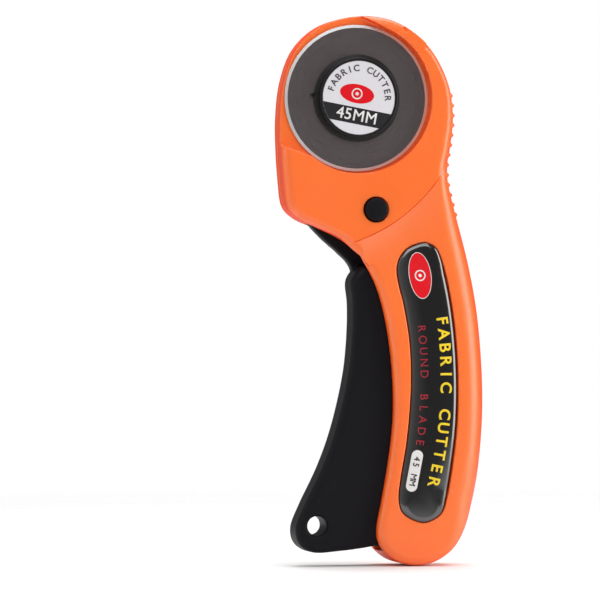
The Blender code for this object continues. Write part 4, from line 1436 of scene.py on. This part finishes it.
def coil_spring(low, high):
    """Compression spring along X that fills the box from low to high, with closed end turns."""
    wire = 0.45 * MM
    radius = (high.z - low.z) / 2 - wire
    middle = (low.z + high.z) / 2
    turns = 8
    steps = 24 * turns
    curve = bpy.data.curves.new("coil", "CURVE")
    curve.dimensions = "3D"
    curve.bevel_depth = wire
    curve.bevel_resolution = 3
    curve.use_fill_caps = True
    spline = curve.splines.new("POLY")
    spline.points.add(steps)
    run = high.x - low.x - 2 * wire
    for i in range(steps + 1):
        part = i / steps
        angle = 2 * math.pi * turns * part
        closed_ends = part - math.sin(2 * math.pi * part) / (2 * math.pi) * 0.85
        x = low.x + wire + run * closed_ends
        spline.points[i].co = (x, radius * math.cos(angle), middle + radius * math.sin(angle), 1)
    coil = add("coil", curve)
    bpy.context.view_layer.update()
    mesh = bpy.data.meshes.new_from_object(coil.evaluated_get(bpy.context.evaluated_depsgraph_get()))
    bpy.data.objects.remove(coil)
    mesh.shade_smooth()
    return add("coil_spring", mesh)


class CUTTER_OT_hardware(Operator):
    """Casing screws, pivot pin, clip and spring"""

    bl_idname = "cutter.hardware"
    bl_label = "Hardware"

    def execute(self, context):
        for name in SCREWS:
            low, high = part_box(name)
            centre = middle_of(name)
            seat = high.y - 1.3 * MM
            screw = turned("made_" + name, [
                (0, high.y), (1.9 * MM, high.y), (2.3 * MM, high.y - 0.12 * MM),
                (2.6 * MM, high.y - 0.4 * MM), (2.7 * MM, high.y - 0.8 * MM), (2.7 * MM, seat),
                (1.25 * MM, seat), (1.25 * MM, low.y + 1 * MM),
                (0.3 * MM, low.y), (0, low.y),
            ], centre, 64)
            for turn in (0, math.pi / 2):
                half = (1.5 * MM, 0.32 * MM) if turn == 0 else (0.32 * MM, 1.5 * MM)
                corners = [(-1, -1), (1, -1), (1, 1), (-1, 1)]
                outline = [(centre[0] + half[0] * a, centre[1] + half[1] * b) for a, b in corners]
                combine(screw, slab("recess", outline, high.y - 0.8 * MM, high.y + 1 * MM))
            dress(screw, hardware_steel(), "casing", "plated_steel", name)
        for name in ("pivot_pin", "button_clip"):
            obj = frame["nodes"][name]
            obj.data.materials.clear()
            obj.data.materials.append(hardware_steel())
        low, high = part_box("return_spring")
        coil = coil_spring(low, high)
        dress(coil, hardware_steel(), "casing", "plated_steel", "return_spring")
        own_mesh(coil)
        return {"FINISHED"}


# Stage

def area_light(name, azimuth, elevation, distance, width, height, power, aim):
    light = bpy.data.lights.new(name, "AREA")
    light.shape = "RECTANGLE"
    light.size = width
    light.size_y = height
    light.energy = power
    obj = add(name, light)
    turn, rise = math.radians(azimuth), math.radians(elevation)
    away = Vector((math.sin(turn) * math.cos(rise), -math.cos(turn) * math.cos(rise), math.sin(rise)))
    obj.location = Vector(aim) + away * distance
    obj.rotation_euler = (-away).to_track_quat("-Z", "Y").to_euler()
    return obj


class CUTTER_OT_stage(Operator):
    """Pale floor, soft lights, plain surroundings and the camera"""

    bl_idname = "cutter.stage"
    bl_label = "Stage"

    def execute(self, context):
        settings = context.scene.cutter.stage
        self.floor()
        middle = (0, 0, 0)
        area_light("key", 66, 6, 0.75, 0.4, 0.9, 5.0, middle)
        area_light("front", -10, 48, 0.8, 0.7, 0.5, 2.8, middle)
        area_light("fill", -80, 12, 0.8, 0.6, 0.9, 0.9, middle)
        area_light("top", 150, 70, 0.8, 0.7, 0.7, 6.0, middle)
        self.surroundings(context)
        self.camera(context, settings)
        context.scene.view_settings.view_transform = "Standard"
        return {"FINISHED"}

    def floor(self):
        bm = bmesh.new()
        bmesh.ops.create_circle(bm, cap_ends=True, segments=96, radius=1.0)
        mesh = bpy.data.meshes.new("floor")
        bm.to_mesh(mesh)
        bm.free()
        floor = add("floor", mesh)
        floor.location.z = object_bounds()[0][2] - 0.0002
        made, tree, shader = start_material("pale_floor")
        shader.inputs["Base Color"].default_value = (0.93, 0.93, 0.93, 1)
        shader.inputs["Roughness"].default_value = 0.9
        place = node(tree, "ShaderNodeTexCoord").outputs["Object"]
        length = node(tree, "ShaderNodeVectorMath", operation="LENGTH")
        tree.links.new(place, length.inputs[0])
        tree.links.new(spread(tree, length.outputs["Value"], 0.12, 0.6, 1.0, 0.0), shader.inputs["Alpha"])
        floor.data.materials.append(made)
        floor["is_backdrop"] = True

    def surroundings(self, context):
        world = bpy.data.worlds.new("studio")
        world.use_nodes = True
        context.scene.world = world
        tree = world.node_tree
        tree.nodes.clear()
        direction = node(tree, "ShaderNodeTexCoord").outputs["Generated"]
        parts = node(tree, "ShaderNodeSeparateXYZ")
        tree.links.new(direction, parts.inputs[0])
        behind = spread(tree, parts.outputs["Y"], -1.0, 1.0, 0.16, 0.35)
        left = spread(tree, parts.outputs["X"], -1.0, 0.2, 0.8, 0.16)
        ramp = maths(tree, "MAXIMUM", behind, left)
        around = node(tree, "ShaderNodeBackground")
        tree.links.new(ramp, around.inputs["Strength"])
        backdrop = node(tree, "ShaderNodeBackground")
        backdrop.inputs["Color"].default_value = (1, 1, 1, 1)
        mix = node(tree, "ShaderNodeMixShader")
        tree.links.new(node(tree, "ShaderNodeLightPath").outputs["Is Camera Ray"], mix.inputs["Fac"])
        tree.links.new(around.outputs[0], mix.inputs[1])
        tree.links.new(backdrop.outputs[0], mix.inputs[2])
        out = node(tree, "ShaderNodeOutputWorld")
        tree.links.new(mix.outputs[0], out.inputs["Surface"])

    def camera(self, context, settings):
        per_mm = 3.25
        distance = settings.distance
        turn = settings.azimuth
        right = Vector((math.cos(turn), math.sin(turn), 0))
        back = Vector((math.sin(turn), -math.cos(turn), 0))
        aim = right * (-24.3 * MM) + Vector((0, 0, -2.9 * MM))
        data = bpy.data.cameras.new("camera")
        data.sensor_width = 36
        data.lens = per_mm * 36 * distance / MM / 600
        obj = add("camera", data)
        obj.location = aim + back * distance
        obj.rotation_euler = (-back).to_track_quat("-Z", "Y").to_euler()
        context.scene.camera = obj


class CUTTER_PT_panel(Panel):
    bl_label = "Rotary cutter"
    bl_space_type = "VIEW_3D"
    bl_region_type = "UI"
    bl_category = "Cutter"

    def draw(self, context):
        for operator in OPERATORS:
            self.layout.operator(operator.bl_idname)


SETTINGS = (
    CasingSettings, TriggerSettings, InlaySettings, BladeSettings, CapSettings, StageSettings, CutterSettings,
)
OPERATORS = (
    CUTTER_OT_front_shell, CUTTER_OT_rear_shell, CUTTER_OT_panels, CUTTER_OT_trigger, CUTTER_OT_blade,
    CUTTER_OT_cap, CUTTER_OT_spindle, CUTTER_OT_lock, CUTTER_OT_hardware, CUTTER_OT_stage,
)


def register():
    for cls in SETTINGS + OPERATORS + (CUTTER_PT_panel,):
        bpy.utils.register_class(cls)
    bpy.types.Scene.cutter = PointerProperty(type=CutterSettings)


def unregister():
    del bpy.types.Scene.cutter
    for cls in reversed(SETTINGS + OPERATORS + (CUTTER_PT_panel,)):
        bpy.utils.unregister_class(cls)


def main():
    register()
    bpy.ops.cutter.front_shell()
    bpy.ops.cutter.rear_shell()
    bpy.ops.cutter.panels()
    bpy.ops.cutter.trigger()
    bpy.ops.cutter.blade()
    bpy.ops.cutter.cap()
    bpy.ops.cutter.spindle()
    bpy.ops.cutter.lock()
    bpy.ops.cutter.hardware()
    bpy.ops.cutter.stage()


if __name__ == "__main__":
    main()
